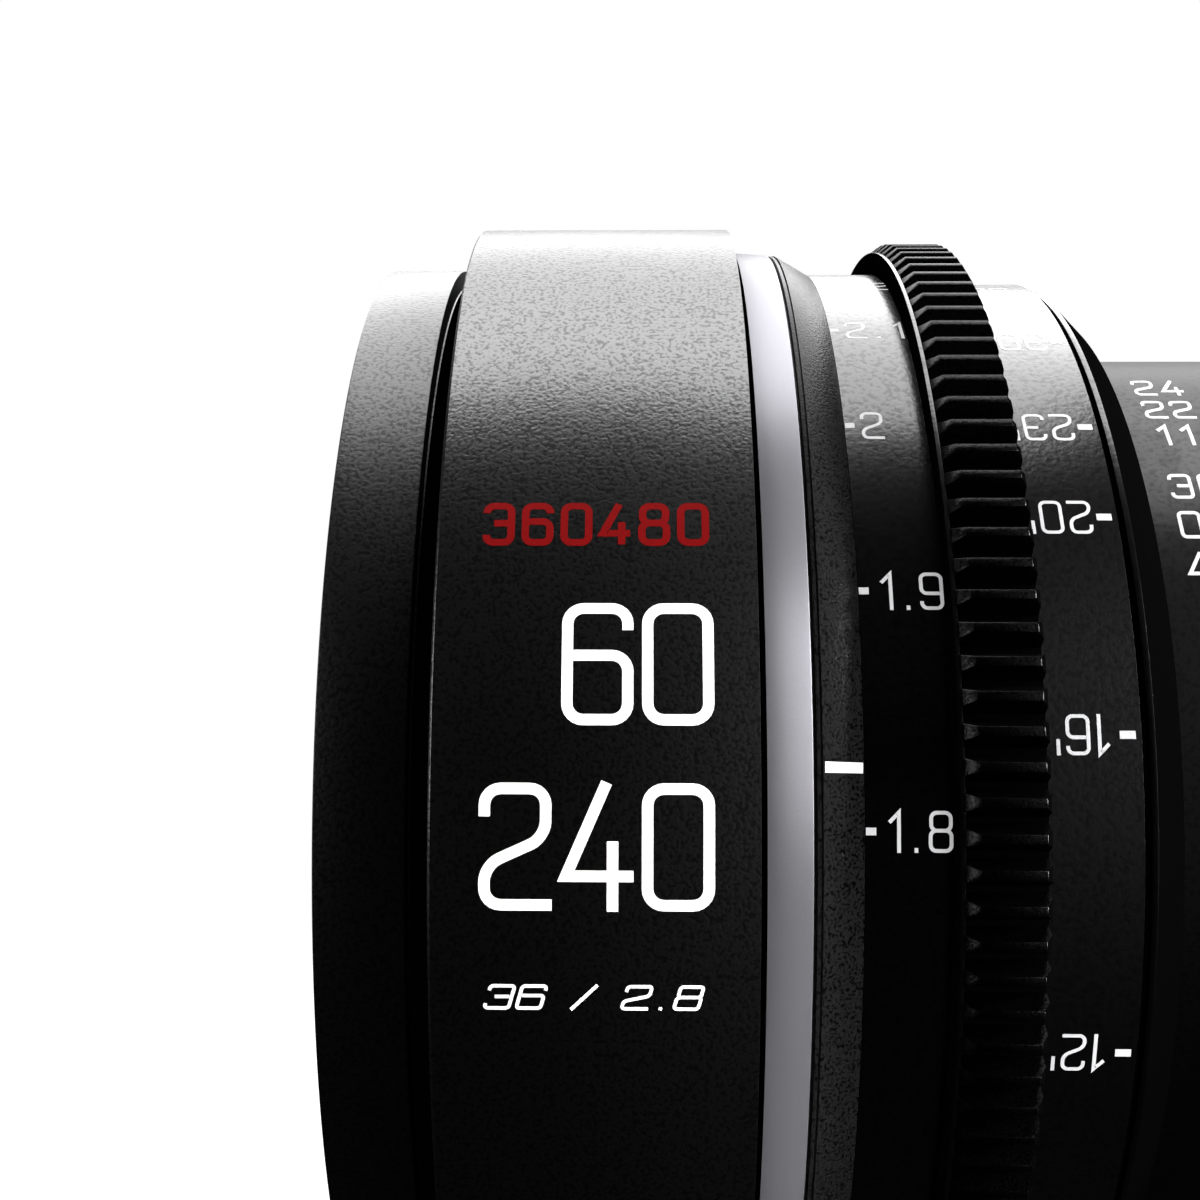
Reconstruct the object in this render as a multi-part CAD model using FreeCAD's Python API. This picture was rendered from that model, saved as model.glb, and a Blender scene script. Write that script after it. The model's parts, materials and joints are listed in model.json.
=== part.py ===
import FreeCAD, Part
import math
import os
from FreeCAD import Vector

# Telephoto zoom lens in millimetres. The optical axis is X with the front glass towards -X.
# The origin is the centre of the camera-mount seat. Index marks face the -Y side, +Z is up.
# Angles about the axis are in degrees from +Y towards +Z, so the -Y side is at 180.

NEAR_SIDE = 180.0
FAR_SIDE = 0.0
UNDERSIDE = 270.0

# Clearances
RUN = 0.05
SEAT = 0.02
END_PLAY = 0.10
SEAM = 0.40
EDGE = 0.30

# Camera mount
SPIGOT_R = 26.985
SPIGOT_L = 8.0
TAB_R = 34.2
TAB_T = 2.7
TAB_COUNT = 4
TAB_NOTCH_DEG = 34.0
TAB_NOTCH_AT = 45.0
HUB_R = 29.8
LOCK_SPACE = 7.3
MOUNT_BASE_R = 36.0
MOUNT_BASE_T = 3.0
SHIM_T = 0.3
KEY_NOTCH_R = 1.6
MOUNT_SCREW_CIRCLE_R = 33.0
MOUNT_SCREW_R = 1.0
MOUNT_SCREW_L = 5.4
MOUNT_HEAD_R = 1.9
MOUNT_HEAD_H = 1.4

# Lengths of the outer pieces, from the mount forwards
REAR_BARREL_L = 38.7
IRIS_RING_L = 31.2
MID_BARREL_L = 29.0
ZOOM_INDEX_L = 4.6
ZOOM_RING_L = 39.6
MAIN_BARREL_L = 39.3
REAR_INDEX_L = 3.0
REAR_INDEX_GAP = 0.95
FOCUS_RING_L = 20.5
FRONT_INDEX_L = 3.05
INDEX_LINE = 0.75
SILVER_L = 3.25
DRUM_LINE = 0.70
DRUM_L = 23.5
CHANNEL_L = 2.1
FILTER_RIM_L = 6.8
FILTER_REAR_BEVEL = 0.45

# Outside radii, from the front backwards
DRUM_R = 57.0
DRUM_WALL = 2.7
FILTER_RIM_STEP = 3.9
CHANNEL_DEPTH = 1.7
SILVER_STEP = 2.2
SILVER_TAPER = 0.25
LINE_DEPTH = 0.8
FRONT_INDEX_STEP = 0.05
METRE_WALL = 3.25
FEET_WALL = 2.3
REAR_INDEX_STEP = 0.45
REAR_INDEX_TAPER = 2.8
BARREL_STEP = 0.1
ZOOM_SCALE_STEP = 1.1
ZOOM_INDEX_STEP = 1.4
IRIS_SCALE_STEP = 2.9
REAR_BARREL_STEP = 0.8

# Drive gears with 0.8 mm module teeth, the size that follow-focus motors run on
MODULE = 0.8
PRESSURE_DEG = 20.0
FOCUS_PITCH_STEP = 2.15
PITCH_STEP = 3.2
FOCUS_GEAR_L = 6.15
FOCUS_CHAMFER_FRONT = 0.97
FOCUS_CHAMFER_REAR = 0.52
GEAR_L = 7.0
GEAR_CHAMFER = 0.7
CHAMFER_DROP = 0.8
METRE_SCALE_L = 5.6
COLLAR_FOOT_R = 0.43
COLLAR_SLANT = 0.25
COLLAR_FLAT = 0.57

# Front glass and its cell
FILTER_THREAD_WALL = 2.05
FILTER_THREAD_L = 5.0
FILTER_LIP = 0.95
DRUM_ROOM = 3.4
CELL_SHOULDER = 1.9
CELL_SPIGOT_L = 3.0
CELL_WALL = 2.0
GLASS_LIP = 2.0
RETAINER_L = 1.5
FRONT_ELEMENT_T = 4.5
FRONT_SPACER_L = 1.5
SECOND_ELEMENT_T = 4.0
CELL_REAR_L = 5.5

# Front tube, focus helicoid and focus cell
TUBE_FLANGE_LIP = 0.1
TUBE_FLANGE_H = 4.0
TUBE_WALL = 3.0
HELICOID_WALL = 2.35
FOCUS_SWEEP_NEAR = -5.0
FOCUS_SWEEP_FAR = 275.0
FOCUS_TRAVEL = 10.5
FOLLOWERS = 3
FOCUS_PIN_R = 1.2
FOCUS_GROOVE_DEPTH = 1.6
FOCUS_PIN_START_DEG = 60.0
SLOT_STEP_DEG = 9.0
FOCUS_CELL_L = 14.0
FOCUS_CELL_FRONT_ROOM = 3.0
FOCUS_PIN_SETBACK = 2.0
FOCUS_CELL_WALL = 4.5
FOCUS_GLASS_T = 7.0
FOCUS_RETAINER_L = 2.0
FOCUS_GLASS_RECESS = 0.5

# Main barrel, guide sleeve, cam barrel and the two zoom cells
MAIN_SPIGOT_L = 3.7
MAIN_SPIGOT_WALL = 3.0
MAIN_BORE_LIP = 2.0
MAIN_SEAT_STEP = 3.0
MAIN_BORE_STEP = 1.3
SLEEVE_FLANGE_L = 3.0
CAM_SPACE = 6.5
SLEEVE_WALL = 2.5
CAM_WALL = 2.95
ZOOM_SWEEP_WIDE = -50.0
ZOOM_SWEEP_TELE = 70.0
VARIATOR_TRAVEL = 34.0
COMPENSATOR_TRAVEL = -12.0
ROLLER_R = 2.0
ROLLER_DEPTH = 3.5
ZOOM_CELL_WALL = 5.0
VARIATOR_L = 14.0
VARIATOR_GLASS_T = 6.0
COMPENSATOR_L = 12.0
COMPENSATOR_GLASS_T = 5.5
ZOOM_RETAINER_L = 1.5
ZOOM_GLASS_RECESS = 0.5
VARIATOR_WIDE_FROM_CAM = 13.9
COMPENSATOR_WIDE_FROM_CAM = 14.9
ZOOM_STUD_R = 2.0
ZOOM_STUD_COUNT = 2
ZOOM_GEAR_FROM_FRONT = 15.0

# Mid barrel, relay glass and iris
RELAY_SPIGOT_L = 7.4
CAM_ROOM = 0.7
CAM_ROOM_L = 22.0
SLEEVE_SEAT_L = 5.0
PRIME_LIP = 2.0
PRIME_SHOULDER_L = 3.0
PRIME_WALL = 3.0
PRIME_GLASS_T = 6.0
IRIS_RING_WALL = 3.2
IRIS_HOUSING_WALL = 4.0
REAR_SPIGOT_STEP = 1.5
REAR_SPIGOT_L = 6.0
IRIS_PLATE_T = 1.2
IRIS_PLATE_SETBACK = 0.6
IRIS_OPEN_R = 16.0
BLADE_COUNT = 9
BLADE_T = 0.15
BLADE_PITCH = 0.30
BLADE_INNER_R = 16.4
BLADE_OUTER_R = 21.3
BLADE_START_DEG = -5.0
BLADE_REACH_DEG = 104.0
BLADE_PIVOT_CIRCLE_R = 22.7
BLADE_LEVER = 9.0
BLADE_LUG_R = 1.9
PIVOT_PIN_R = 0.8
DRIVE_PIN_R = 0.7
IRIS_SWEEP = 72.0
BLADE_SWEEP = 36.0
DRIVE_RING_BORE_R = 22.4
DRIVE_LUG_DEG = 9.0
DRIVE_LUG_L = 4.0
DRIVE_LUG_INNER_R = 30.0
IRIS_STUD_R = 1.4
IRIS_STUD_SETBACK = 2.0
IRIS_STUD_COVER = 0.5
IRIS_GEAR_FROM_FRONT = 13.0
RELAY_NOSE_R = 29.3
RELAY_NOSE_L = 6.6
RELAY_BODY_L = 21.0
RELAY_GLASS_R = 24.0
RELAY_CLEAR_R = 21.5
RELAY_GLASS_T = 9.0
RELAY_SHOULDER_L = 2.6
RELAY_RETAINER_L = 2.0

# Rear barrel and rear glass
REAR_WALL_T = 6.0
REAR_CONE_START = 18.0
REAR_CONE_END = 6.7
REAR_CELL_R = 25.5
REAR_CELL_BORE_R = 21.5
REAR_CELL_FLANGE_R = 30.0
REAR_CELL_FLANGE_L = 3.0
REAR_CELL_OVERHANG = 24.0
REAR_CLEAR_R = 19.5
REAR_GLASS_T = 5.0
REAR_RETAINER_L = 2.0
REAR_GLASS_RECESS = 5.0
REAR_SHOULDER_L = 3.0

# Lens support foot with the two tripod threads
FOOT_HALF_W = 19.0
FOOT_WAIST_HALF_W = 15.5
FOOT_TOP_HALF_W = 17.5
FOOT_BASE_T = 4.5
FOOT_WAIST_DROP = 3.5
FOOT_INSET = 1.5
LARGE_THREAD_R = 3.97
SMALL_THREAD_R = 2.55
THREAD_DEPTH = 10.0
THREAD_SPACING = 14.0
FOOT_SCREW_X = 9.0
FOOT_SCREW_Y = 11.5
FOOT_SCREW_R = 1.6
FOOT_HEAD_R = 2.9
FOOT_HEAD_H = 3.0
FOOT_HEAD_DEPTH = 10.0
FOOT_SCREW_L = 7.5

# Stop pins that limit the three rings
STOP_PIN_R = 0.6
STOP_PIN_REACH = 1.4
STOP_PIN_SEAT = 3.0
STOP_GROOVE_DEPTH = 1.6
FOCUS_STOP_INSET = 0.95

# Radii, worked inwards and rearwards from the drum
SILVER_FRONT_R = DRUM_R - SILVER_STEP
SILVER_REAR_R = SILVER_FRONT_R - SILVER_TAPER
FRONT_INDEX_FRONT_R = SILVER_REAR_R - FRONT_INDEX_STEP
FILTER_RIM_R = DRUM_R - FILTER_RIM_STEP
CHANNEL_R = FILTER_RIM_R - CHANNEL_DEPTH
CELL_R = DRUM_R - DRUM_WALL - DRUM_ROOM
CELL_SPIGOT_R = CELL_R - CELL_SHOULDER
FILTER_THREAD_R = CELL_SPIGOT_R - FILTER_THREAD_WALL
FILTER_BORE_R = FILTER_THREAD_R - FILTER_LIP
FRONT_GLASS_R = CELL_SPIGOT_R - CELL_WALL
FRONT_CLEAR_R = FRONT_GLASS_R - GLASS_LIP
TUBE_FLANGE_R = CELL_R + TUBE_FLANGE_LIP
TUBE_R = TUBE_FLANGE_R - TUBE_FLANGE_H
TUBE_BORE_R = TUBE_R - TUBE_WALL
HELICOID_R = TUBE_R + RUN + HELICOID_WALL
METRE_SCALE_R = HELICOID_R + METRE_WALL
FRONT_INDEX_REAR_R = METRE_SCALE_R + FRONT_INDEX_STEP
FEET_SCALE_R = HELICOID_R + FEET_WALL
REAR_INDEX_R = FEET_SCALE_R - REAR_INDEX_STEP
REAR_INDEX_CONE_R = REAR_INDEX_R - REAR_INDEX_TAPER
FOCUS_STOP_CIRCLE_R = HELICOID_R + FOCUS_STOP_INSET
FOCUS_GLASS_R = TUBE_BORE_R - FOCUS_CELL_WALL
FOCUS_CLEAR_R = FOCUS_GLASS_R - GLASS_LIP
MAIN_FRONT_BORE_R = TUBE_BORE_R - MAIN_SPIGOT_WALL
MAIN_BORE_R = MAIN_FRONT_BORE_R - MAIN_BORE_LIP
MAIN_SEAT_R = MAIN_BORE_R + MAIN_SEAT_STEP
BARREL_R = TUBE_BORE_R + BARREL_STEP
ZOOM_SCALE_R = BARREL_R + ZOOM_SCALE_STEP
ZOOM_INDEX_R = BARREL_R + ZOOM_INDEX_STEP
SLEEVE_R = MAIN_BORE_R - CAM_SPACE
SLEEVE_BORE_R = SLEEVE_R - SLEEVE_WALL
ROLLER_SEAT_R = SLEEVE_BORE_R - ROLLER_DEPTH
ZOOM_GLASS_R = SLEEVE_BORE_R - ZOOM_CELL_WALL
ZOOM_CLEAR_R = ZOOM_GLASS_R - GLASS_LIP
CAM_BORE_R = SLEEVE_R + RUN
CAM_R = CAM_BORE_R + CAM_WALL
CAM_ROOM_R = CAM_R + CAM_ROOM
IRIS_SCALE_R = BARREL_R - IRIS_SCALE_STEP
IRIS_SEAT_R = IRIS_SCALE_R - IRIS_RING_WALL
IRIS_BORE_R = IRIS_SEAT_R - IRIS_HOUSING_WALL
PRIME_GLASS_R = IRIS_BORE_R - PRIME_WALL
PRIME_SHOULDER_R = PRIME_GLASS_R - PRIME_LIP
REAR_SPIGOT_R = IRIS_SEAT_R - REAR_SPIGOT_STEP
REAR_BARREL_R = IRIS_SCALE_R - REAR_BARREL_STEP

# Teeth: the whole number of module teeth whose pitch circle stands that far above the ring
FOCUS_TEETH = round(2 * (METRE_SCALE_R + FOCUS_PITCH_STEP) / MODULE)
ZOOM_TEETH = round(2 * (ZOOM_SCALE_R + PITCH_STEP) / MODULE)
IRIS_TEETH = round(2 * (IRIS_SCALE_R + PITCH_STEP) / MODULE)

# Stations along the axis, worked forwards from the seat at X = 0
X_HUB = -(TAB_T + LOCK_SPACE)
X_MOUNT_BASE = X_HUB - MOUNT_BASE_T
X_SHIM = X_MOUNT_BASE - SHIM_T
X_REAR_BARREL = X_SHIM - REAR_BARREL_L
X_IRIS_RING_REAR = X_REAR_BARREL - SEAM
X_IRIS_RING = X_IRIS_RING_REAR - IRIS_RING_L
X_MID_REAR = X_IRIS_RING - SEAM
X_MID = X_MID_REAR - MID_BARREL_L
X_ZOOM_INDEX = X_MID - ZOOM_INDEX_L
X_ZOOM_RING_REAR = X_ZOOM_INDEX - SEAM
X_ZOOM_RING = X_ZOOM_RING_REAR - ZOOM_RING_L
X_MAIN_REAR = X_ZOOM_RING - SEAM
X_MAIN = X_MAIN_REAR - MAIN_BARREL_L
X_REAR_INDEX = X_MAIN - REAR_INDEX_L
X_FOCUS_REAR = X_REAR_INDEX - REAR_INDEX_GAP
X_FOCUS = X_FOCUS_REAR - FOCUS_RING_L
X_INDEX_REAR = X_FOCUS - END_PLAY
X_INDEX = X_INDEX_REAR - FRONT_INDEX_L
X_SILVER_REAR = X_INDEX - INDEX_LINE
X_SILVER = X_SILVER_REAR - SILVER_L
X_DRUM_REAR = X_SILVER - DRUM_LINE
X_DRUM = X_DRUM_REAR - DRUM_L
X_FILTER_REAR = X_DRUM - CHANNEL_L
X_FRONT = X_FILTER_REAR - FILTER_RIM_L

# Front glass stack
X_CELL_STEP = X_DRUM + CELL_SPIGOT_L
X_FRONT_ELEMENT = X_CELL_STEP + RETAINER_L
X_FRONT_SPACER = X_FRONT_ELEMENT + FRONT_ELEMENT_T
X_SECOND_ELEMENT = X_FRONT_SPACER + FRONT_SPACER_L
X_CELL_SHOULDER = X_SECOND_ELEMENT + SECOND_ELEMENT_T
X_TUBE = X_CELL_SHOULDER + CELL_REAR_L
SILVER_SPIGOT_L = 2.9

# Focus drive: the pins ride in the grooves of a sleeve that turns with the ring
FOCUS_LEAD = FOCUS_TRAVEL / math.radians(FOCUS_SWEEP_FAR - FOCUS_SWEEP_NEAR)
X_FOCUS_CELL = X_TUBE + FOCUS_CELL_FRONT_ROOM
X_FOCUS_PIN = X_FOCUS_CELL + FOCUS_CELL_L - FOCUS_PIN_SETBACK
X_FOCUS_GLASS = X_FOCUS_CELL + FOCUS_RETAINER_L + FOCUS_GLASS_RECESS

# Zoom drive: rollers in straight slots of the sleeve and helical slots of the cam barrel
ZOOM_SWEEP = math.radians(ZOOM_SWEEP_TELE - ZOOM_SWEEP_WIDE)
VARIATOR_LEAD = VARIATOR_TRAVEL / ZOOM_SWEEP
COMPENSATOR_LEAD = COMPENSATOR_TRAVEL / ZOOM_SWEEP
X_SLEEVE_STEP = X_MAIN + MAIN_BORE_STEP
X_SLEEVE = X_SLEEVE_STEP - SLEEVE_FLANGE_L
X_CAM = X_SLEEVE_STEP + END_PLAY
X_RELAY = X_ZOOM_INDEX - RELAY_SPIGOT_L
X_SLEEVE_SEAT = X_RELAY + CAM_ROOM_L
X_SLEEVE_REAR = X_SLEEVE_SEAT + SLEEVE_SEAT_L
X_CAM_REAR = X_SLEEVE_SEAT - END_PLAY
X_VARIATOR_WIDE = X_CAM + VARIATOR_WIDE_FROM_CAM
X_VARIATOR = X_VARIATOR_WIDE - VARIATOR_LEAD * math.radians(ZOOM_SWEEP_WIDE)
X_COMPENSATOR_WIDE = X_CAM_REAR - COMPENSATOR_WIDE_FROM_CAM
X_COMPENSATOR = X_COMPENSATOR_WIDE - COMPENSATOR_LEAD * math.radians(ZOOM_SWEEP_WIDE)
X_ZOOM_GEAR = X_ZOOM_RING + ZOOM_GEAR_FROM_FRONT
X_ZOOM_STUD = X_ZOOM_GEAR + GEAR_L / 2

# Iris stack
X_PRIME_GLASS = X_SLEEVE_REAR + PRIME_SHOULDER_L
X_IRIS_PLATE = X_IRIS_RING + IRIS_PLATE_SETBACK
X_BLADES = X_IRIS_PLATE + IRIS_PLATE_T + BLADE_T
X_DRIVE_RING = X_BLADES + (BLADE_COUNT - 1) * BLADE_PITCH + BLADE_T + 2 * END_PLAY
X_DRIVE_LUG = X_DRIVE_RING + IRIS_PLATE_T
X_IRIS_STUD = X_DRIVE_LUG + IRIS_STUD_SETBACK
X_RELAY_NOSE = X_DRIVE_LUG + END_PLAY
X_RELAY_BODY = X_RELAY_NOSE + RELAY_NOSE_L
X_IRIS_GEAR = X_IRIS_RING + IRIS_GEAR_FROM_FRONT
X_FOOT = (X_MID + X_MID_REAR) / 2
FOOT_Z = -DRUM_R


def polar(radius, degrees, x=0.0):
    angle = math.radians(degrees)
    return Vector(x, radius * math.cos(angle), radius * math.sin(angle))


def upright(shape):
    if shape.Volume < 0:
        shape.reverse()
    return shape


def turned(outline, start=0.0, sweep=360.0):
    """Body turned about the axis. A corner is (x, r), or (x, r, x_mid, r_mid) to end an arc."""
    edges = []
    before = outline[-1]
    for corner in outline:
        a = Vector(before[0], before[1], 0)
        b = Vector(corner[0], corner[1], 0)
        if len(corner) == 4:
            edges.append(Part.Arc(a, Vector(corner[2], corner[3], 0), b).toShape())
        else:
            edges.append(Part.LineSegment(a, b).toShape())
        before = corner
    body = Part.Face(Part.Wire(edges)).revolve(Vector(0, 0, 0), Vector(1, 0, 0), sweep)
    body.rotate(Vector(0, 0, 0), Vector(1, 0, 0), start)
    return upright(body)


def tube(x0, x1, r_in, r_out):
    return turned([(x0, r_in), (x1, r_in), (x1, r_out), (x0, r_out)])


def turn(shape, degrees):
    copy = shape.copy()
    copy.rotate(Vector(0, 0, 0), Vector(1, 0, 0), degrees)
    return copy


def spread(shape, count):
    """Equal copies of a shape around the axis."""
    return [turn(shape, 360.0 * i / count) for i in range(count)]


def radial_pin(x, degrees, r_in, r_out, radius):
    return Part.makeCylinder(radius, r_out - r_in, polar(r_in, degrees, x), polar(1, degrees))


def axial_pin(x0, x1, circle_r, degrees, radius):
    return Part.makeCylinder(radius, x1 - x0, polar(circle_r, degrees, x0), Vector(1, 0, 0))


def lens(x_front, x_rear, rim_r, clear_r, bulge_front, bulge_rear):
    """Glass with a flat seating land at its rim; a bulge below zero is a hollow face."""
    def face_arc(x_land, bulge, side, end):
        radius = (clear_r ** 2 + bulge ** 2) / (2 * abs(bulge))
        half = clear_r / 2
        sag = radius - math.sqrt(radius ** 2 - half ** 2)
        lift = math.copysign(abs(bulge) - sag, bulge)
        return (end[0], end[1], x_land + side * lift, half)

    front_vertex = (x_front - bulge_front, 0.0)
    rear_vertex = (x_rear + bulge_rear, 0.0)
    return turned([
        (x_front, rim_r),
        (x_rear, rim_r),
        (x_rear, clear_r),
        face_arc(x_rear, bulge_rear, 1, rear_vertex),
        front_vertex,
        face_arc(x_front, bulge_front, -1, (x_front, clear_r)),
    ])


def helical_slot(x_rest, lead, degrees, sweep_from, sweep_to, r_in, r_out, half_width):
    """Path of a radial follower that moves lead mm per radian while the slotted tube turns.
    Its floor is raised by what a chord between two sections would take off."""
    steps = max(4, int(math.ceil((sweep_to - sweep_from) / SLOT_STEP_DEG)))
    half_step = math.radians((sweep_to - sweep_from) / steps / 2)
    floor_r = r_out / math.cos(half_step)
    mid_r = (r_in + r_out) / 2
    slope = math.hypot(mid_r, lead)
    sections = []
    ends = []
    for i in range(steps + 1):
        sweep = sweep_from + (sweep_to - sweep_from) * i / steps
        x = x_rest + lead * math.radians(sweep)
        angle = degrees - sweep
        across = Vector(mid_r / slope, 0, 0) + polar(lead / slope, angle + 90)
        corners = []
        for radius, side in ((r_in, -1), (r_in, 1), (floor_r, 1), (floor_r, -1)):
            corners.append(polar(radius, angle, x) + across * (side * half_width))
        sections.append(Part.makePolygon(corners + corners[:1]))
        if i in (0, steps):
            ends.append(radial_pin(x, angle, r_in, r_out, half_width))
    return [upright(Part.makeLoft(sections, True, True))] + ends


def straight_slot(x0, x1, degrees, r_in, r_out, half_width):
    bar = Part.makeBox(x1 - x0, r_out - r_in, 2 * half_width, Vector(x0, r_in, -half_width))
    ends = [radial_pin(x, degrees, r_in, r_out, half_width) for x in (x0, x1)]
    return [turn(bar, degrees)] + ends


def round_slot(x, half_width, r_in, r_out, start, sweep):
    """Slot around a tube wall for a radial stud."""
    corners = [(x - half_width, r_in), (x + half_width, r_in)]
    corners += [(x + half_width, r_out), (x - half_width, r_out)]
    ends = [radial_pin(x, a, r_in, r_out, half_width) for a in (start, start + sweep)]
    return [turned(corners, start, sweep)] + ends


def face_groove(x0, x1, circle_r, half_width, start, sweep):
    """Groove in an end face for an axial stop pin."""
    low, high = circle_r - half_width, circle_r + half_width
    arc = turned([(x0, low), (x1, low), (x1, high), (x0, high)], start, sweep)
    ends = [axial_pin(x0, x1, circle_r, a, half_width) for a in (start, start + sweep)]
    return [arc] + ends


def toothed_band(x0, length, teeth, r_bore, chamfer_front, chamfer_rear):
    """Straight-sided gear teeth whose ends are turned to a chamfer."""
    pitch_r = MODULE * teeth / 2
    tip_r = pitch_r + MODULE
    root_r = tip_r - 2.25 * MODULE
    slant = math.tan(math.radians(PRESSURE_DEG))

    def half_angle(radius):
        return math.degrees((math.pi * MODULE / 4 + (pitch_r - radius) * slant) / radius)

    corners = []
    for i in range(teeth):
        middle = 360.0 * i / teeth
        for radius, side in ((root_r, -1), (tip_r, -1), (tip_r, 1), (root_r, 1)):
            corners.append(polar(radius, middle + side * half_angle(radius), x0))
    face = Part.Face(Part.makePolygon(corners + corners[:1]))
    prism = upright(face.extrude(Vector(length, 0, 0)))
    spare = EDGE
    end_r = tip_r - CHAMFER_DROP
    slope_front = CHAMFER_DROP / chamfer_front
    slope_rear = CHAMFER_DROP / chamfer_rear
    x1 = x0 + length
    envelope = turned([
        (x0 - spare, r_bore),
        (x1 + spare, r_bore),
        (x1 + spare, end_r - spare * slope_rear),
        (x1 - chamfer_rear - spare / slope_rear, tip_r + spare),
        (x0 + chamfer_front + spare / slope_front, tip_r + spare),
        (x0 - spare, end_r - spare * slope_front),
    ])
    return prism.common(envelope), root_r, tip_r


def fused(shapes):
    body = shapes[0].fuse(shapes[1:])
    return body.removeSplitter()


def one_solid(shape):
    """The single solid inside a boolean's result."""
    solids = shape.Solids
    if len(solids) != 1:
        raise ValueError("expected one solid, found %d" % len(solids))
    return solids[0]


def cut_each(body, cutters):
    """Cuts one after the other, because cutters that touch can spoil a joint cut."""
    for cutter in cutters:
        body = body.cut(cutter)
    return one_solid(body)


# Front end

def filter_ring():
    step = X_FRONT + FILTER_THREAD_L + EDGE
    return turned([
        (X_FRONT, FILTER_THREAD_R + EDGE),
        (X_FRONT, FILTER_RIM_R - EDGE),
        (X_FRONT + EDGE, FILTER_RIM_R),
        (X_FILTER_REAR - FILTER_REAR_BEVEL, FILTER_RIM_R),
        (X_FILTER_REAR, FILTER_RIM_R - FILTER_REAR_BEVEL),
        (X_FILTER_REAR, CHANNEL_R),
        (X_DRUM, CHANNEL_R),
        (X_DRUM, CELL_SPIGOT_R - SEAT),
        (X_CELL_STEP, CELL_SPIGOT_R - SEAT),
        (X_CELL_STEP, FILTER_BORE_R),
        (step, FILTER_BORE_R),
        (step, FILTER_THREAD_R),
        (X_FRONT + EDGE, FILTER_THREAD_R),
    ])


def front_drum():
    inner = DRUM_R - DRUM_WALL
    bore = CELL_R + SEAT
    return turned([
        (X_DRUM, bore),
        (X_DRUM, DRUM_R - EDGE),
        (X_DRUM + EDGE, DRUM_R),
        (X_DRUM_REAR - EDGE, DRUM_R),
        (X_DRUM_REAR, DRUM_R - EDGE),
        (X_DRUM_REAR, inner),
        (X_DRUM + DRUM_WALL, inner),
        (X_DRUM + DRUM_WALL, bore),
    ])


def front_lens_cell():
    return turned([
        (X_DRUM, CELL_SPIGOT_R),
        (X_DRUM, CELL_R),
        (X_TUBE, CELL_R),
        (X_TUBE, FRONT_CLEAR_R),
        (X_CELL_SHOULDER, FRONT_CLEAR_R),
        (X_CELL_SHOULDER, FRONT_GLASS_R + SEAT),
        (X_CELL_STEP, FRONT_GLASS_R + SEAT),
        (X_CELL_STEP, CELL_SPIGOT_R),
    ])


def silver_ring():
    spigot_r = DRUM_R - DRUM_WALL - SEAT
    bore = TUBE_FLANGE_R + SEAT
    return turned([
        (X_DRUM_REAR - SILVER_SPIGOT_L, bore),
        (X_DRUM_REAR - SILVER_SPIGOT_L, spigot_r),
        (X_DRUM_REAR, spigot_r),
        (X_DRUM_REAR, SILVER_FRONT_R - LINE_DEPTH),
        (X_SILVER, SILVER_FRONT_R - LINE_DEPTH),
        (X_SILVER, SILVER_FRONT_R),
        (X_SILVER_REAR, SILVER_REAR_R),
        (X_SILVER_REAR, bore),
    ])


def front_index_ring():
    bore = TUBE_FLANGE_R + SEAT
    return turned([
        (X_SILVER_REAR, bore),
        (X_SILVER_REAR, FRONT_INDEX_FRONT_R - LINE_DEPTH),
        (X_INDEX, FRONT_INDEX_FRONT_R - LINE_DEPTH),
        (X_INDEX, FRONT_INDEX_FRONT_R),
        (X_INDEX_REAR, FRONT_INDEX_REAR_R),
        (X_INDEX_REAR, bore),
    ])


# Focus drive

def focus_pin_spots():
    return [NEAR_SIDE + FOCUS_PIN_START_DEG + 360.0 * i / FOLLOWERS for i in range(FOLLOWERS)]


def front_tube():
    body = turned([
        (X_TUBE, TUBE_BORE_R),
        (X_TUBE, TUBE_FLANGE_R),
        (X_INDEX_REAR, TUBE_FLANGE_R),
        (X_INDEX_REAR, TUBE_R),
        (X_REAR_INDEX, TUBE_R),
        (X_REAR_INDEX, TUBE_BORE_R),
    ])
    near = X_FOCUS_PIN + FOCUS_LEAD * math.radians(FOCUS_SWEEP_NEAR)
    far = X_FOCUS_PIN + FOCUS_LEAD * math.radians(FOCUS_SWEEP_FAR)
    cutters = [stop_pin_hole(X_INDEX_REAR, FOCUS_STOP_CIRCLE_R, NEAR_SIDE, -1)]
    for spot in focus_pin_spots():
        cutters += straight_slot(near, far, spot, TUBE_BORE_R - 1, TUBE_R + 1, FOCUS_PIN_R + RUN)
    return cut_each(body, cutters)


def focus_helicoid():
    body = tube(X_FOCUS, X_FOCUS_REAR, TUBE_R + RUN, HELICOID_R)
    depth_r = TUBE_R + RUN + FOCUS_GROOVE_DEPTH
    cutters = []
    for spot in focus_pin_spots():
        cutters += helical_slot(X_FOCUS_PIN, FOCUS_LEAD, spot, FOCUS_SWEEP_NEAR, FOCUS_SWEEP_FAR,
                                TUBE_R - 1, depth_r, FOCUS_PIN_R + RUN)
    return cut_each(body, cutters)


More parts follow.
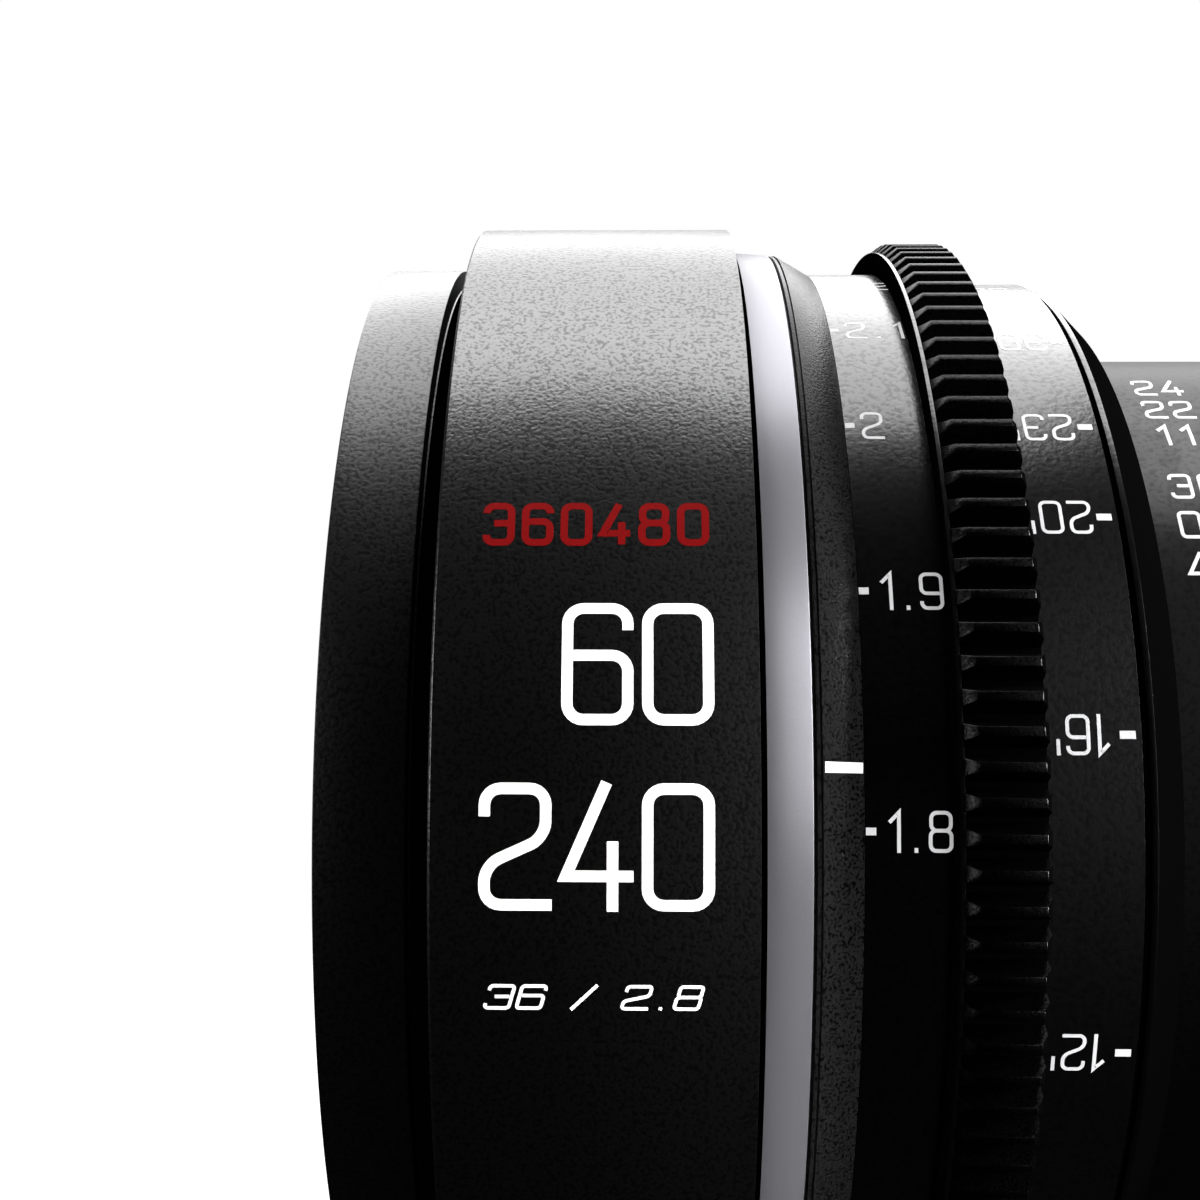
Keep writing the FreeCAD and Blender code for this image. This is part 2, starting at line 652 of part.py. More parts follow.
def focus_ring():
    bore = HELICOID_R + SEAT
    x_foot = X_FOCUS + METRE_SCALE_L
    x_wall = x_foot + COLLAR_FOOT_R
    x_collar = x_wall + COLLAR_SLANT
    x_gear = x_collar + COLLAR_FLAT
    x_gear_rear = x_gear + FOCUS_GEAR_L
    teeth, _, tip_r = toothed_band(x_gear, FOCUS_GEAR_L, FOCUS_TEETH, bore,
                                   FOCUS_CHAMFER_FRONT, FOCUS_CHAMFER_REAR)
    collar_r = tip_r - CHAMFER_DROP
    round_off = COLLAR_FOOT_R * math.sqrt(0.5)
    front = turned([
        (X_FOCUS, bore),
        (X_FOCUS, METRE_SCALE_R - EDGE),
        (X_FOCUS + EDGE, METRE_SCALE_R),
        (x_foot, METRE_SCALE_R),
        (x_wall, METRE_SCALE_R + COLLAR_FOOT_R,
         x_foot + round_off, METRE_SCALE_R + COLLAR_FOOT_R - round_off),
        (x_collar, collar_r),
        (x_gear, collar_r),
        (x_gear, bore),
    ])
    rear = turned([
        (x_gear_rear, bore),
        (x_gear_rear, FEET_SCALE_R),
        (X_FOCUS_REAR - EDGE, FEET_SCALE_R),
        (X_FOCUS_REAR, FEET_SCALE_R - EDGE),
        (X_FOCUS_REAR, bore),
    ])
    body = fused([teeth, front, rear])
    groove = face_groove(X_FOCUS - 1, X_FOCUS + STOP_GROOVE_DEPTH, FOCUS_STOP_CIRCLE_R,
                         STOP_PIN_R + RUN, NEAR_SIDE - FOCUS_SWEEP_FAR,
                         FOCUS_SWEEP_FAR - FOCUS_SWEEP_NEAR)
    return cut_each(body, groove)


def focus_cell():
    outer = TUBE_BORE_R - RUN
    rear = X_FOCUS_CELL + FOCUS_CELL_L
    shoulder = X_FOCUS_GLASS + FOCUS_GLASS_T
    body = turned([
        (X_FOCUS_CELL, FOCUS_GLASS_R + SEAT),
        (X_FOCUS_CELL, outer),
        (rear, outer),
        (rear, FOCUS_CLEAR_R),
        (shoulder, FOCUS_CLEAR_R),
        (shoulder, FOCUS_GLASS_R + SEAT),
    ])
    seats = [radial_pin(X_FOCUS_PIN, spot, FOCUS_GLASS_R + 1, outer + 1, FOCUS_PIN_R + SEAT)
             for spot in focus_pin_spots()]
    return cut_each(body, seats)


def focus_pins():
    tip_r = TUBE_R + RUN + FOCUS_GROOVE_DEPTH - END_PLAY
    return Part.makeCompound([radial_pin(X_FOCUS_PIN, spot, FOCUS_GLASS_R + 1, tip_r, FOCUS_PIN_R)
                              for spot in focus_pin_spots()])


def rear_index_ring():
    bore = TUBE_R + SEAT
    lip = X_FOCUS_REAR + END_PLAY
    lip_r = REAR_INDEX_R - LINE_DEPTH
    return turned([
        (lip, bore),
        (lip, lip_r),
        (X_REAR_INDEX, lip_r),
        (X_REAR_INDEX, REAR_INDEX_R),
        (X_REAR_INDEX + EDGE, REAR_INDEX_R),
        (X_MAIN, REAR_INDEX_CONE_R),
        (X_MAIN, bore),
    ])


# Zoom drive

def stud_spots():
    return [UNDERSIDE + 360.0 * i / ZOOM_STUD_COUNT for i in range(ZOOM_STUD_COUNT)]


def main_barrel():
    body = turned([
        (X_REAR_INDEX - MAIN_SPIGOT_L, MAIN_FRONT_BORE_R),
        (X_REAR_INDEX - MAIN_SPIGOT_L, TUBE_BORE_R - SEAT),
        (X_REAR_INDEX, TUBE_BORE_R - SEAT),
        (X_REAR_INDEX, TUBE_R),
        (X_MAIN, TUBE_R),
        (X_MAIN, BARREL_R),
        (X_MAIN_REAR - EDGE, BARREL_R),
        (X_MAIN_REAR, BARREL_R - EDGE),
        (X_MAIN_REAR, MAIN_SEAT_R),
        (X_ZOOM_INDEX, MAIN_SEAT_R),
        (X_ZOOM_INDEX, MAIN_BORE_R),
        (X_SLEEVE_STEP, MAIN_BORE_R),
        (X_SLEEVE_STEP, MAIN_FRONT_BORE_R),
    ])
    cutters = []
    for spot in stud_spots():
        cutters += round_slot(X_ZOOM_STUD, ZOOM_STUD_R + END_PLAY, MAIN_BORE_R - 1,
                              MAIN_SEAT_R + 1, spot + ZOOM_SWEEP_WIDE - 1,
                              ZOOM_SWEEP_TELE - ZOOM_SWEEP_WIDE + 2)
    return cut_each(body, cutters)


def guide_sleeve():
    body = turned([
        (X_SLEEVE, SLEEVE_BORE_R),
        (X_SLEEVE, MAIN_FRONT_BORE_R - SEAT),
        (X_SLEEVE_STEP, MAIN_FRONT_BORE_R - SEAT),
        (X_SLEEVE_STEP, SLEEVE_R),
        (X_SLEEVE_REAR, SLEEVE_R),
        (X_SLEEVE_REAR, SLEEVE_BORE_R),
    ])
    cutters = []
    for x, lead in ((X_VARIATOR, VARIATOR_LEAD), (X_COMPENSATOR, COMPENSATOR_LEAD)):
        ends = [x + lead * math.radians(s) for s in (ZOOM_SWEEP_WIDE, ZOOM_SWEEP_TELE)]
        for spot in focus_pin_spots():
            cutters += straight_slot(min(ends), max(ends), spot, SLEEVE_BORE_R - 1, SLEEVE_R + 1,
                                     ROLLER_R + RUN)
    return cut_each(body, cutters)


def cam_barrel():
    body = tube(X_CAM, X_CAM_REAR, CAM_BORE_R, CAM_R)
    cutters = [radial_pin(X_ZOOM_STUD, spot, CAM_BORE_R - 1, CAM_R + 1, ZOOM_STUD_R + SEAT)
               for spot in stud_spots()]
    for x, lead in ((X_VARIATOR, VARIATOR_LEAD), (X_COMPENSATOR, COMPENSATOR_LEAD)):
        for spot in focus_pin_spots():
            cutters += helical_slot(x, lead, spot, ZOOM_SWEEP_WIDE, ZOOM_SWEEP_TELE,
                                    CAM_BORE_R - 1, CAM_R + 1, ROLLER_R + RUN)
    return cut_each(body, cutters)


def ring_with_gear(x0, x1, bore, scale_r, x_gear, teeth):
    """A turned ring with a gear band standing out of its plain scale surface."""
    band, _, _ = toothed_band(x_gear, GEAR_L, teeth, bore, GEAR_CHAMFER, GEAR_CHAMFER)
    front = turned([
        (x0, bore),
        (x0, scale_r - EDGE),
        (x0 + EDGE, scale_r),
        (x_gear, scale_r),
        (x_gear, bore),
    ])
    rear = turned([
        (x_gear + GEAR_L, bore),
        (x_gear + GEAR_L, scale_r),
        (x1 - EDGE, scale_r),
        (x1, scale_r - EDGE),
        (x1, bore),
    ])
    return fused([band, front, rear])


def zoom_stop_circle():
    return (MAIN_SEAT_R + ZOOM_SCALE_R) / 2


def zoom_ring():
    bore = MAIN_SEAT_R + RUN
    body = ring_with_gear(X_ZOOM_RING, X_ZOOM_RING_REAR, bore, ZOOM_SCALE_R, X_ZOOM_GEAR,
                          ZOOM_TEETH)
    cutters = face_groove(X_ZOOM_RING_REAR - STOP_GROOVE_DEPTH, X_ZOOM_RING_REAR + 1,
                          zoom_stop_circle(), STOP_PIN_R + RUN, NEAR_SIDE - ZOOM_SWEEP_TELE,
                          ZOOM_SWEEP_TELE - ZOOM_SWEEP_WIDE)
    for spot in stud_spots():
        cutters.append(radial_pin(X_ZOOM_STUD, spot, bore - 1, ZOOM_SCALE_R, ZOOM_STUD_R + SEAT))
    return cut_each(body, cutters)


def zoom_studs():
    return Part.makeCompound([radial_pin(X_ZOOM_STUD, spot, CAM_BORE_R + RUN, ZOOM_SCALE_R - SEAT,
                                         ZOOM_STUD_R) for spot in stud_spots()])


def zoom_cell(x, length, glass_t):
    """Sliding cell whose glass sits on a rear shoulder behind a threaded ring."""
    outer = SLEEVE_BORE_R - RUN
    front, rear = x - length / 2, x + length / 2
    shoulder = front + ZOOM_RETAINER_L + ZOOM_GLASS_RECESS + glass_t
    body = turned([
        (front, ZOOM_GLASS_R + SEAT),
        (front, outer),
        (rear, outer),
        (rear, ZOOM_CLEAR_R),
        (shoulder, ZOOM_CLEAR_R),
        (shoulder, ZOOM_GLASS_R + SEAT),
    ])
    seats = [radial_pin(x, spot, ROLLER_SEAT_R, outer + 1, ROLLER_R + SEAT)
             for spot in focus_pin_spots()]
    return cut_each(body, seats)


def zoom_cell_glass(x, length, glass_t, bulge_front, bulge_rear):
    front = x - length / 2 + ZOOM_RETAINER_L + ZOOM_GLASS_RECESS
    return lens(front, front + glass_t, ZOOM_GLASS_R, ZOOM_CLEAR_R, bulge_front, bulge_rear)


def zoom_cell_retainer(x, length):
    front = x - length / 2 + ZOOM_GLASS_RECESS
    return tube(front, front + ZOOM_RETAINER_L, ZOOM_CLEAR_R, ZOOM_GLASS_R)


def rollers(x):
    return Part.makeCompound([radial_pin(x, spot, ROLLER_SEAT_R, CAM_R - END_PLAY, ROLLER_R)
                              for spot in focus_pin_spots()])


def zoom_index_ring():
    body = turned([
        (X_ZOOM_INDEX, MAIN_SEAT_R + SEAT),
        (X_ZOOM_INDEX, ZOOM_INDEX_R - EDGE),
        (X_ZOOM_INDEX + EDGE, ZOOM_INDEX_R),
        (X_MID - EDGE, ZOOM_INDEX_R),
        (X_MID, ZOOM_INDEX_R - EDGE),
        (X_MID, MAIN_SEAT_R + SEAT),
    ])
    return body.cut(stop_pin_hole(X_ZOOM_INDEX, zoom_stop_circle(), NEAR_SIDE, 1))


# Mid barrel, iris and relay

def iris_stop_circle():
    return (IRIS_SEAT_R + IRIS_SCALE_R) / 2


def relay_housing():
    body = turned([
        (X_RELAY, CAM_ROOM_R),
        (X_RELAY, MAIN_BORE_R - SEAT),
        (X_ZOOM_INDEX, MAIN_BORE_R - SEAT),
        (X_ZOOM_INDEX, MAIN_SEAT_R),
        (X_MID, MAIN_SEAT_R),
        (X_MID, BARREL_R - EDGE),
        (X_MID + EDGE, BARREL_R),
        (X_MID_REAR - EDGE, BARREL_R),
        (X_MID_REAR, BARREL_R - EDGE),
        (X_MID_REAR, IRIS_SEAT_R),
        (X_REAR_BARREL, IRIS_SEAT_R),
        (X_REAR_BARREL, REAR_SPIGOT_R),
        (X_REAR_BARREL + REAR_SPIGOT_L, REAR_SPIGOT_R),
        (X_REAR_BARREL + REAR_SPIGOT_L, IRIS_BORE_R),
        (X_IRIS_PLATE, IRIS_BORE_R),
        (X_IRIS_PLATE, PRIME_GLASS_R + SEAT),
        (X_PRIME_GLASS, PRIME_GLASS_R + SEAT),
        (X_PRIME_GLASS, PRIME_SHOULDER_R),
        (X_SLEEVE_REAR, PRIME_SHOULDER_R),
        (X_SLEEVE_REAR, SLEEVE_R + SEAT),
        (X_SLEEVE_SEAT, SLEEVE_R + SEAT),
        (X_SLEEVE_SEAT, CAM_ROOM_R),
    ])
    cutters = round_slot(X_IRIS_STUD, IRIS_STUD_R + END_PLAY, IRIS_BORE_R - 1, IRIS_SEAT_R + 1,
                         UNDERSIDE - 1, IRIS_SWEEP + 2)
    cutters.append(stop_pin_hole(X_MID_REAR, iris_stop_circle(), NEAR_SIDE, -1))
    for x, y in foot_screw_spots():
        cutters.append(Part.makeCylinder(FOOT_SCREW_R + SEAT, FOOT_SCREW_L + SEAT,
                                         Vector(x, y, FOOT_Z + FOOT_HEAD_DEPTH), Vector(0, 0, 1)))
    return cut_each(body, cutters)


def iris_pivot_plate():
    body = tube(X_IRIS_PLATE, X_IRIS_PLATE + IRIS_PLATE_T, IRIS_OPEN_R, IRIS_BORE_R - SEAT)
    hole = axial_pin(X_IRIS_PLATE - 1, X_BLADES + 1, BLADE_PIVOT_CIRCLE_R, 0, PIVOT_PIN_R + RUN)
    return cut_each(body, spread(hole, BLADE_COUNT))


def iris_blade(i):
    """Thin curved leaf with a pivot pin towards the fixed plate and a drive pin on its lever."""
    x0 = X_BLADES + i * BLADE_PITCH
    leaf = turned([(x0, BLADE_INNER_R), (x0 + BLADE_T, BLADE_INNER_R),
                   (x0 + BLADE_T, BLADE_OUTER_R), (x0, BLADE_OUTER_R)], BLADE_START_DEG, BLADE_REACH_DEG)
    mid_r = (BLADE_INNER_R + BLADE_OUTER_R) / 2
    tip = axial_pin(x0, x0 + BLADE_T, mid_r, BLADE_START_DEG + BLADE_REACH_DEG, BLADE_OUTER_R - mid_r)
    arm = Part.makeBox(BLADE_T, 2 * BLADE_LUG_R, BLADE_LEVER,
                       Vector(x0, BLADE_PIVOT_CIRCLE_R - BLADE_LUG_R, -BLADE_LEVER))
    pivot = Vector(x0, BLADE_PIVOT_CIRCLE_R, 0)
    drive = Vector(x0, BLADE_PIVOT_CIRCLE_R, -BLADE_LEVER)
    discs = [Part.makeCylinder(BLADE_LUG_R, BLADE_T, at, Vector(1, 0, 0)) for at in (pivot, drive)]
    pin_back = x0 - (X_IRIS_PLATE + END_PLAY)
    pivot_pin = Part.makeCylinder(PIVOT_PIN_R, pin_back + BLADE_T / 2,
                                  pivot - Vector(pin_back, 0, 0), Vector(1, 0, 0))
    pin_reach = X_DRIVE_LUG - END_PLAY - x0
    drive_pin = Part.makeCylinder(DRIVE_PIN_R, pin_reach - BLADE_T / 2,
                                  drive + Vector(BLADE_T / 2, 0, 0), Vector(1, 0, 0))
    blade = fused([leaf, tip, arm] + discs + [pivot_pin, drive_pin])
    return one_solid(turn(blade, 360.0 * i / BLADE_COUNT))


def drive_pin_path(sweep):
    """Where a blade's drive pin stands in the drive ring after the ring has turned by sweep."""
    blade_turn = math.radians(BLADE_SWEEP * sweep / IRIS_SWEEP)
    y = BLADE_PIVOT_CIRCLE_R + BLADE_LEVER * math.sin(blade_turn)
    z = -BLADE_LEVER * math.cos(blade_turn)
    back = math.radians(-sweep)
    return (y * math.cos(back) - z * math.sin(back), y * math.sin(back) + z * math.cos(back))


def cam_slot(x0, x1, half_width):
    """Curved slot that keeps every blade at a steady ratio to the drive ring."""
    stations = 9
    sides = ([], [])
    for i in range(stations):
        sweep = IRIS_SWEEP * i / (stations - 1)
        y, z = drive_pin_path(sweep)
        y1, z1 = drive_pin_path(sweep + 0.01)
        y0, z0 = drive_pin_path(sweep - 0.01)
        length = math.hypot(y1 - y0, z1 - z0)
        ny, nz = -(z1 - z0) / length, (y1 - y0) / length
        for side, points in zip((1, -1), sides):
            points.append(Vector(x0, y + side * half_width * ny, z + side * half_width * nz))
    edges = []
    for points in sides:
        curve = Part.BSplineCurve()
        curve.interpolate(points)
        edges.append(curve.toShape())
    for i, sweep, ahead in ((0, 0.0, -0.01), (-1, IRIS_SWEEP, 0.01)):
        y, z = drive_pin_path(sweep)
        y1, z1 = drive_pin_path(sweep + ahead)
        length = math.hypot(y1 - y, z1 - z)
        over = Vector(x0, y + (y1 - y) / length * half_width, z + (z1 - z) / length * half_width)
        edges.append(Part.Arc(sides[0][i], over, sides[1][i]).toShape())
    wire = Part.Wire(Part.__sortEdges__(edges))
    return upright(Part.Face(wire).extrude(Vector(x1 - x0, 0, 0)))


def iris_drive_ring():
    body = tube(X_DRIVE_RING, X_DRIVE_LUG, DRIVE_RING_BORE_R, IRIS_BORE_R - RUN)
    slot = cam_slot(X_DRIVE_RING - 1, X_DRIVE_LUG + 1, DRIVE_PIN_R + RUN)
    body = cut_each(body, spread(slot, BLADE_COUNT))
    lug = turned([(X_DRIVE_LUG, DRIVE_LUG_INNER_R), (X_DRIVE_LUG + DRIVE_LUG_L, DRIVE_LUG_INNER_R),
                  (X_DRIVE_LUG + DRIVE_LUG_L, IRIS_BORE_R - 5 * END_PLAY),
                  (X_DRIVE_LUG, IRIS_BORE_R - 5 * END_PLAY)],
                 UNDERSIDE - DRIVE_LUG_DEG / 2, DRIVE_LUG_DEG)
    seat = radial_pin(X_IRIS_STUD, UNDERSIDE, DRIVE_LUG_INNER_R + 1, IRIS_BORE_R + 1,
                      IRIS_STUD_R + SEAT)
    return cut_each(fused([body, lug]), [seat])


def iris_ring():
    bore = IRIS_SEAT_R + RUN
    body = ring_with_gear(X_IRIS_RING, X_IRIS_RING_REAR, bore, IRIS_SCALE_R, X_IRIS_GEAR,
                          IRIS_TEETH)
    cutters = face_groove(X_IRIS_RING - 1, X_IRIS_RING + STOP_GROOVE_DEPTH, iris_stop_circle(),
                          STOP_PIN_R + RUN, NEAR_SIDE - IRIS_SWEEP, IRIS_SWEEP)
    cutters.append(radial_pin(X_IRIS_STUD, UNDERSIDE, bore - 1, IRIS_SCALE_R - IRIS_STUD_COVER,
                              IRIS_STUD_R + SEAT))
    return cut_each(body, cutters)


def iris_stud():
    return radial_pin(X_IRIS_STUD, UNDERSIDE, DRIVE_LUG_INNER_R + 1 + SEAT,
                      IRIS_SCALE_R - IRIS_STUD_COVER - SEAT, IRIS_STUD_R)


def relay_cell():
    x_glass = X_RELAY_NOSE + RELAY_SHOULDER_L
    rear = X_RELAY_BODY + RELAY_BODY_L
    return turned([
        (X_RELAY_NOSE, RELAY_CLEAR_R),
        (X_RELAY_NOSE, RELAY_NOSE_R),
        (X_RELAY_BODY, RELAY_NOSE_R),
        (X_RELAY_BODY, IRIS_BORE_R - SEAT),
        (rear, IRIS_BORE_R - SEAT),
        (rear, RELAY_GLASS_R + SEAT),
        (x_glass, RELAY_GLASS_R + SEAT),
        (x_glass, RELAY_CLEAR_R),
    ])


# Rear end

def rear_barrel():
    wall = X_SHIM - REAR_WALL_T
    body = turned([
        (X_REAR_BARREL, REAR_SPIGOT_R + SEAT),
        (X_REAR_BARREL, REAR_BARREL_R - EDGE),
        (X_REAR_BARREL + EDGE, REAR_BARREL_R),
        (X_REAR_BARREL + REAR_CONE_START, REAR_BARREL_R),
        (X_SHIM - REAR_CONE_END, MOUNT_BASE_R),
        (X_SHIM, MOUNT_BASE_R),
        (X_SHIM, REAR_CELL_R + SEAT),
        (wall, REAR_CELL_R + SEAT),
        (wall, IRIS_BORE_R),
        (X_REAR_BARREL + REAR_SPIGOT_L, IRIS_BORE_R),
        (X_REAR_BARREL + REAR_SPIGOT_L, REAR_SPIGOT_R + SEAT),
    ])
    return body.cut(mount_screw_row(X_SHIM - MOUNT_SCREW_L, X_SHIM + 1, MOUNT_SCREW_R + SEAT))


def rear_glass_station():
    return REAR_CELL_OVERHANG - REAR_GLASS_RECESS - REAR_RETAINER_L - REAR_GLASS_T


def rear_lens_cell():
    flange = X_SHIM - REAR_WALL_T - REAR_CELL_FLANGE_L
    x_glass = rear_glass_station()
    shoulder = x_glass - REAR_SHOULDER_L
    return turned([
        (flange, REAR_CELL_BORE_R),
        (flange, REAR_CELL_FLANGE_R),
        (flange + REAR_CELL_FLANGE_L, REAR_CELL_FLANGE_R),
        (flange + REAR_CELL_FLANGE_L, REAR_CELL_R),
        (REAR_CELL_OVERHANG - EDGE, REAR_CELL_R),
        (REAR_CELL_OVERHANG, REAR_CELL_R - EDGE),
        (REAR_CELL_OVERHANG, REAR_CELL_BORE_R + SEAT),
        (x_glass, REAR_CELL_BORE_R + SEAT),
        (x_glass, REAR_CLEAR_R),
        (shoulder, REAR_CLEAR_R),
        (shoulder, REAR_CELL_BORE_R),
    ])


def mount_screw_row(x0, x1, radius):
    screw = axial_pin(x0, x1, MOUNT_SCREW_CIRCLE_R, TAB_NOTCH_AT, radius)
    return spread(screw, TAB_COUNT)


def mount_flange():
    bore = REAR_CELL_R + END_PLAY
    body = turned([
        (X_MOUNT_BASE, bore),
        (X_MOUNT_BASE, MOUNT_BASE_R),
        (X_HUB - EDGE, MOUNT_BASE_R),
        (X_HUB, MOUNT_BASE_R - EDGE),
        (X_HUB, HUB_R),
        (-TAB_T, HUB_R),
        (-TAB_T, TAB_R),
        (0, TAB_R),
        (0, SPIGOT_R),
        (SPIGOT_L - EDGE, SPIGOT_R),
        (SPIGOT_L, SPIGOT_R - EDGE),
        (SPIGOT_L, bore),
    ])
    notch = turned([(-TAB_T - END_PLAY, HUB_R), (1, HUB_R), (1, TAB_R + 1),
                    (-TAB_T - END_PLAY, TAB_R + 1)], TAB_NOTCH_AT - TAB_NOTCH_DEG / 2, TAB_NOTCH_DEG)
    cutters = spread(notch, TAB_COUNT)
    cutters.append(axial_pin(-TAB_T - 1, 1, TAB_R, 90.0, KEY_NOTCH_R))
    cutters += mount_screw_row(X_MOUNT_BASE - 1, X_HUB + 1, MOUNT_SCREW_R + RUN)
    cutters += mount_screw_row(X_HUB - MOUNT_HEAD_H - END_PLAY, X_HUB + 1, MOUNT_HEAD_R + RUN)
    return cut_each(body, cutters)


def mount_shim():
    body = tube(X_SHIM, X_MOUNT_BASE, REAR_CELL_R + END_PLAY, MOUNT_BASE_R - SEAT)
    return body.cut(mount_screw_row(X_SHIM - 1, X_MOUNT_BASE + 1, MOUNT_SCREW_R + RUN))


def mount_screws():
    seat = X_HUB - MOUNT_HEAD_H - END_PLAY
    shanks = mount_screw_row(X_SHIM - MOUNT_SCREW_L + END_PLAY, seat, MOUNT_SCREW_R)
    heads = mount_screw_row(seat, seat + MOUNT_HEAD_H, MOUNT_HEAD_R)
    return Part.makeCompound([one_solid(fused([a, b])) for a, b in zip(shanks, heads)])


# Support foot

def foot_screw_spots():
    return [(X_FOOT + i * FOOT_SCREW_X, j * FOOT_SCREW_Y) for i in (-1, 1) for j in (-1, 1)]


def support_foot():
    half_l = MID_BARREL_L / 2 - FOOT_INSET
    waist_z = FOOT_Z + FOOT_BASE_T + FOOT_WAIST_DROP
    top_z = -math.sqrt(BARREL_R ** 2 - FOOT_TOP_HALF_W ** 2)
    corners = []
    for side in (1, -1):
        half = [(FOOT_HALF_W, FOOT_Z), (FOOT_HALF_W, FOOT_Z + FOOT_BASE_T),
                (FOOT_WAIST_HALF_W, waist_z), (FOOT_TOP_HALF_W, top_z - 1.0),
                (FOOT_TOP_HALF_W, top_z + 2.0)]
        corners += [Vector(X_FOOT - half_l, side * y, z) for y, z in half[::side]]
    block = upright(Part.Face(Part.makePolygon(corners + corners[:1])).extrude(
        Vector(2 * half_l, 0, 0)))
    barrel = Part.makeCylinder(BARREL_R + SEAT, 2 * MID_BARREL_L,
                               Vector(X_FOOT - MID_BARREL_L, 0, 0), Vector(1, 0, 0))
    up = Vector(0, 0, 1)
    cutters = [barrel]
    for x, radius in ((X_FOOT - THREAD_SPACING / 2, LARGE_THREAD_R),
                      (X_FOOT + THREAD_SPACING / 2, SMALL_THREAD_R)):
        cutters.append(Part.makeCylinder(radius, THREAD_DEPTH, Vector(x, 0, FOOT_Z), up))
    for x, y in foot_screw_spots():
        cutters.append(Part.makeCylinder(FOOT_HEAD_R + RUN, FOOT_HEAD_DEPTH, Vector(x, y, FOOT_Z), up))
        cutters.append(Part.makeCylinder(FOOT_SCREW_R + RUN, BARREL_R, Vector(x, y, FOOT_Z), up))
    return cut_each(block, cutters)


def foot_screws():
    up = Vector(0, 0, 1)
    screws = []
    for x, y in foot_screw_spots():
        seat = Vector(x, y, FOOT_Z + FOOT_HEAD_DEPTH)
        shank = Part.makeCylinder(FOOT_SCREW_R, FOOT_SCREW_L, seat, up)
        head = Part.makeCylinder(FOOT_HEAD_R, FOOT_HEAD_H, seat - Vector(0, 0, FOOT_HEAD_H), up)
        screws.append(one_solid(fused([shank, head])))
    return Part.makeCompound(screws)


# Stop pins

def stop_pin_hole(x, circle_r, degrees, side):
    """Hole that opens at station x and goes into the carrier on the given side."""
    ends = sorted((x, x + side * STOP_PIN_SEAT))
    return axial_pin(ends[0], ends[1], circle_r, degrees, STOP_PIN_R + SEAT)


def stop_pin(x, circle_r, degrees, side):
    ends = sorted((x - side * STOP_PIN_REACH, x + side * (STOP_PIN_SEAT - SEAT)))
    return axial_pin(ends[0], ends[1], circle_r, degrees, STOP_PIN_R)


def stop_pins():
    return Part.makeCompound([
        stop_pin(X_INDEX_REAR, FOCUS_STOP_CIRCLE_R, NEAR_SIDE, -1),
        stop_pin(X_ZOOM_INDEX, zoom_stop_circle(), NEAR_SIDE, 1),
        stop_pin(X_MID_REAR, iris_stop_circle(), NEAR_SIDE, -1),
    ])


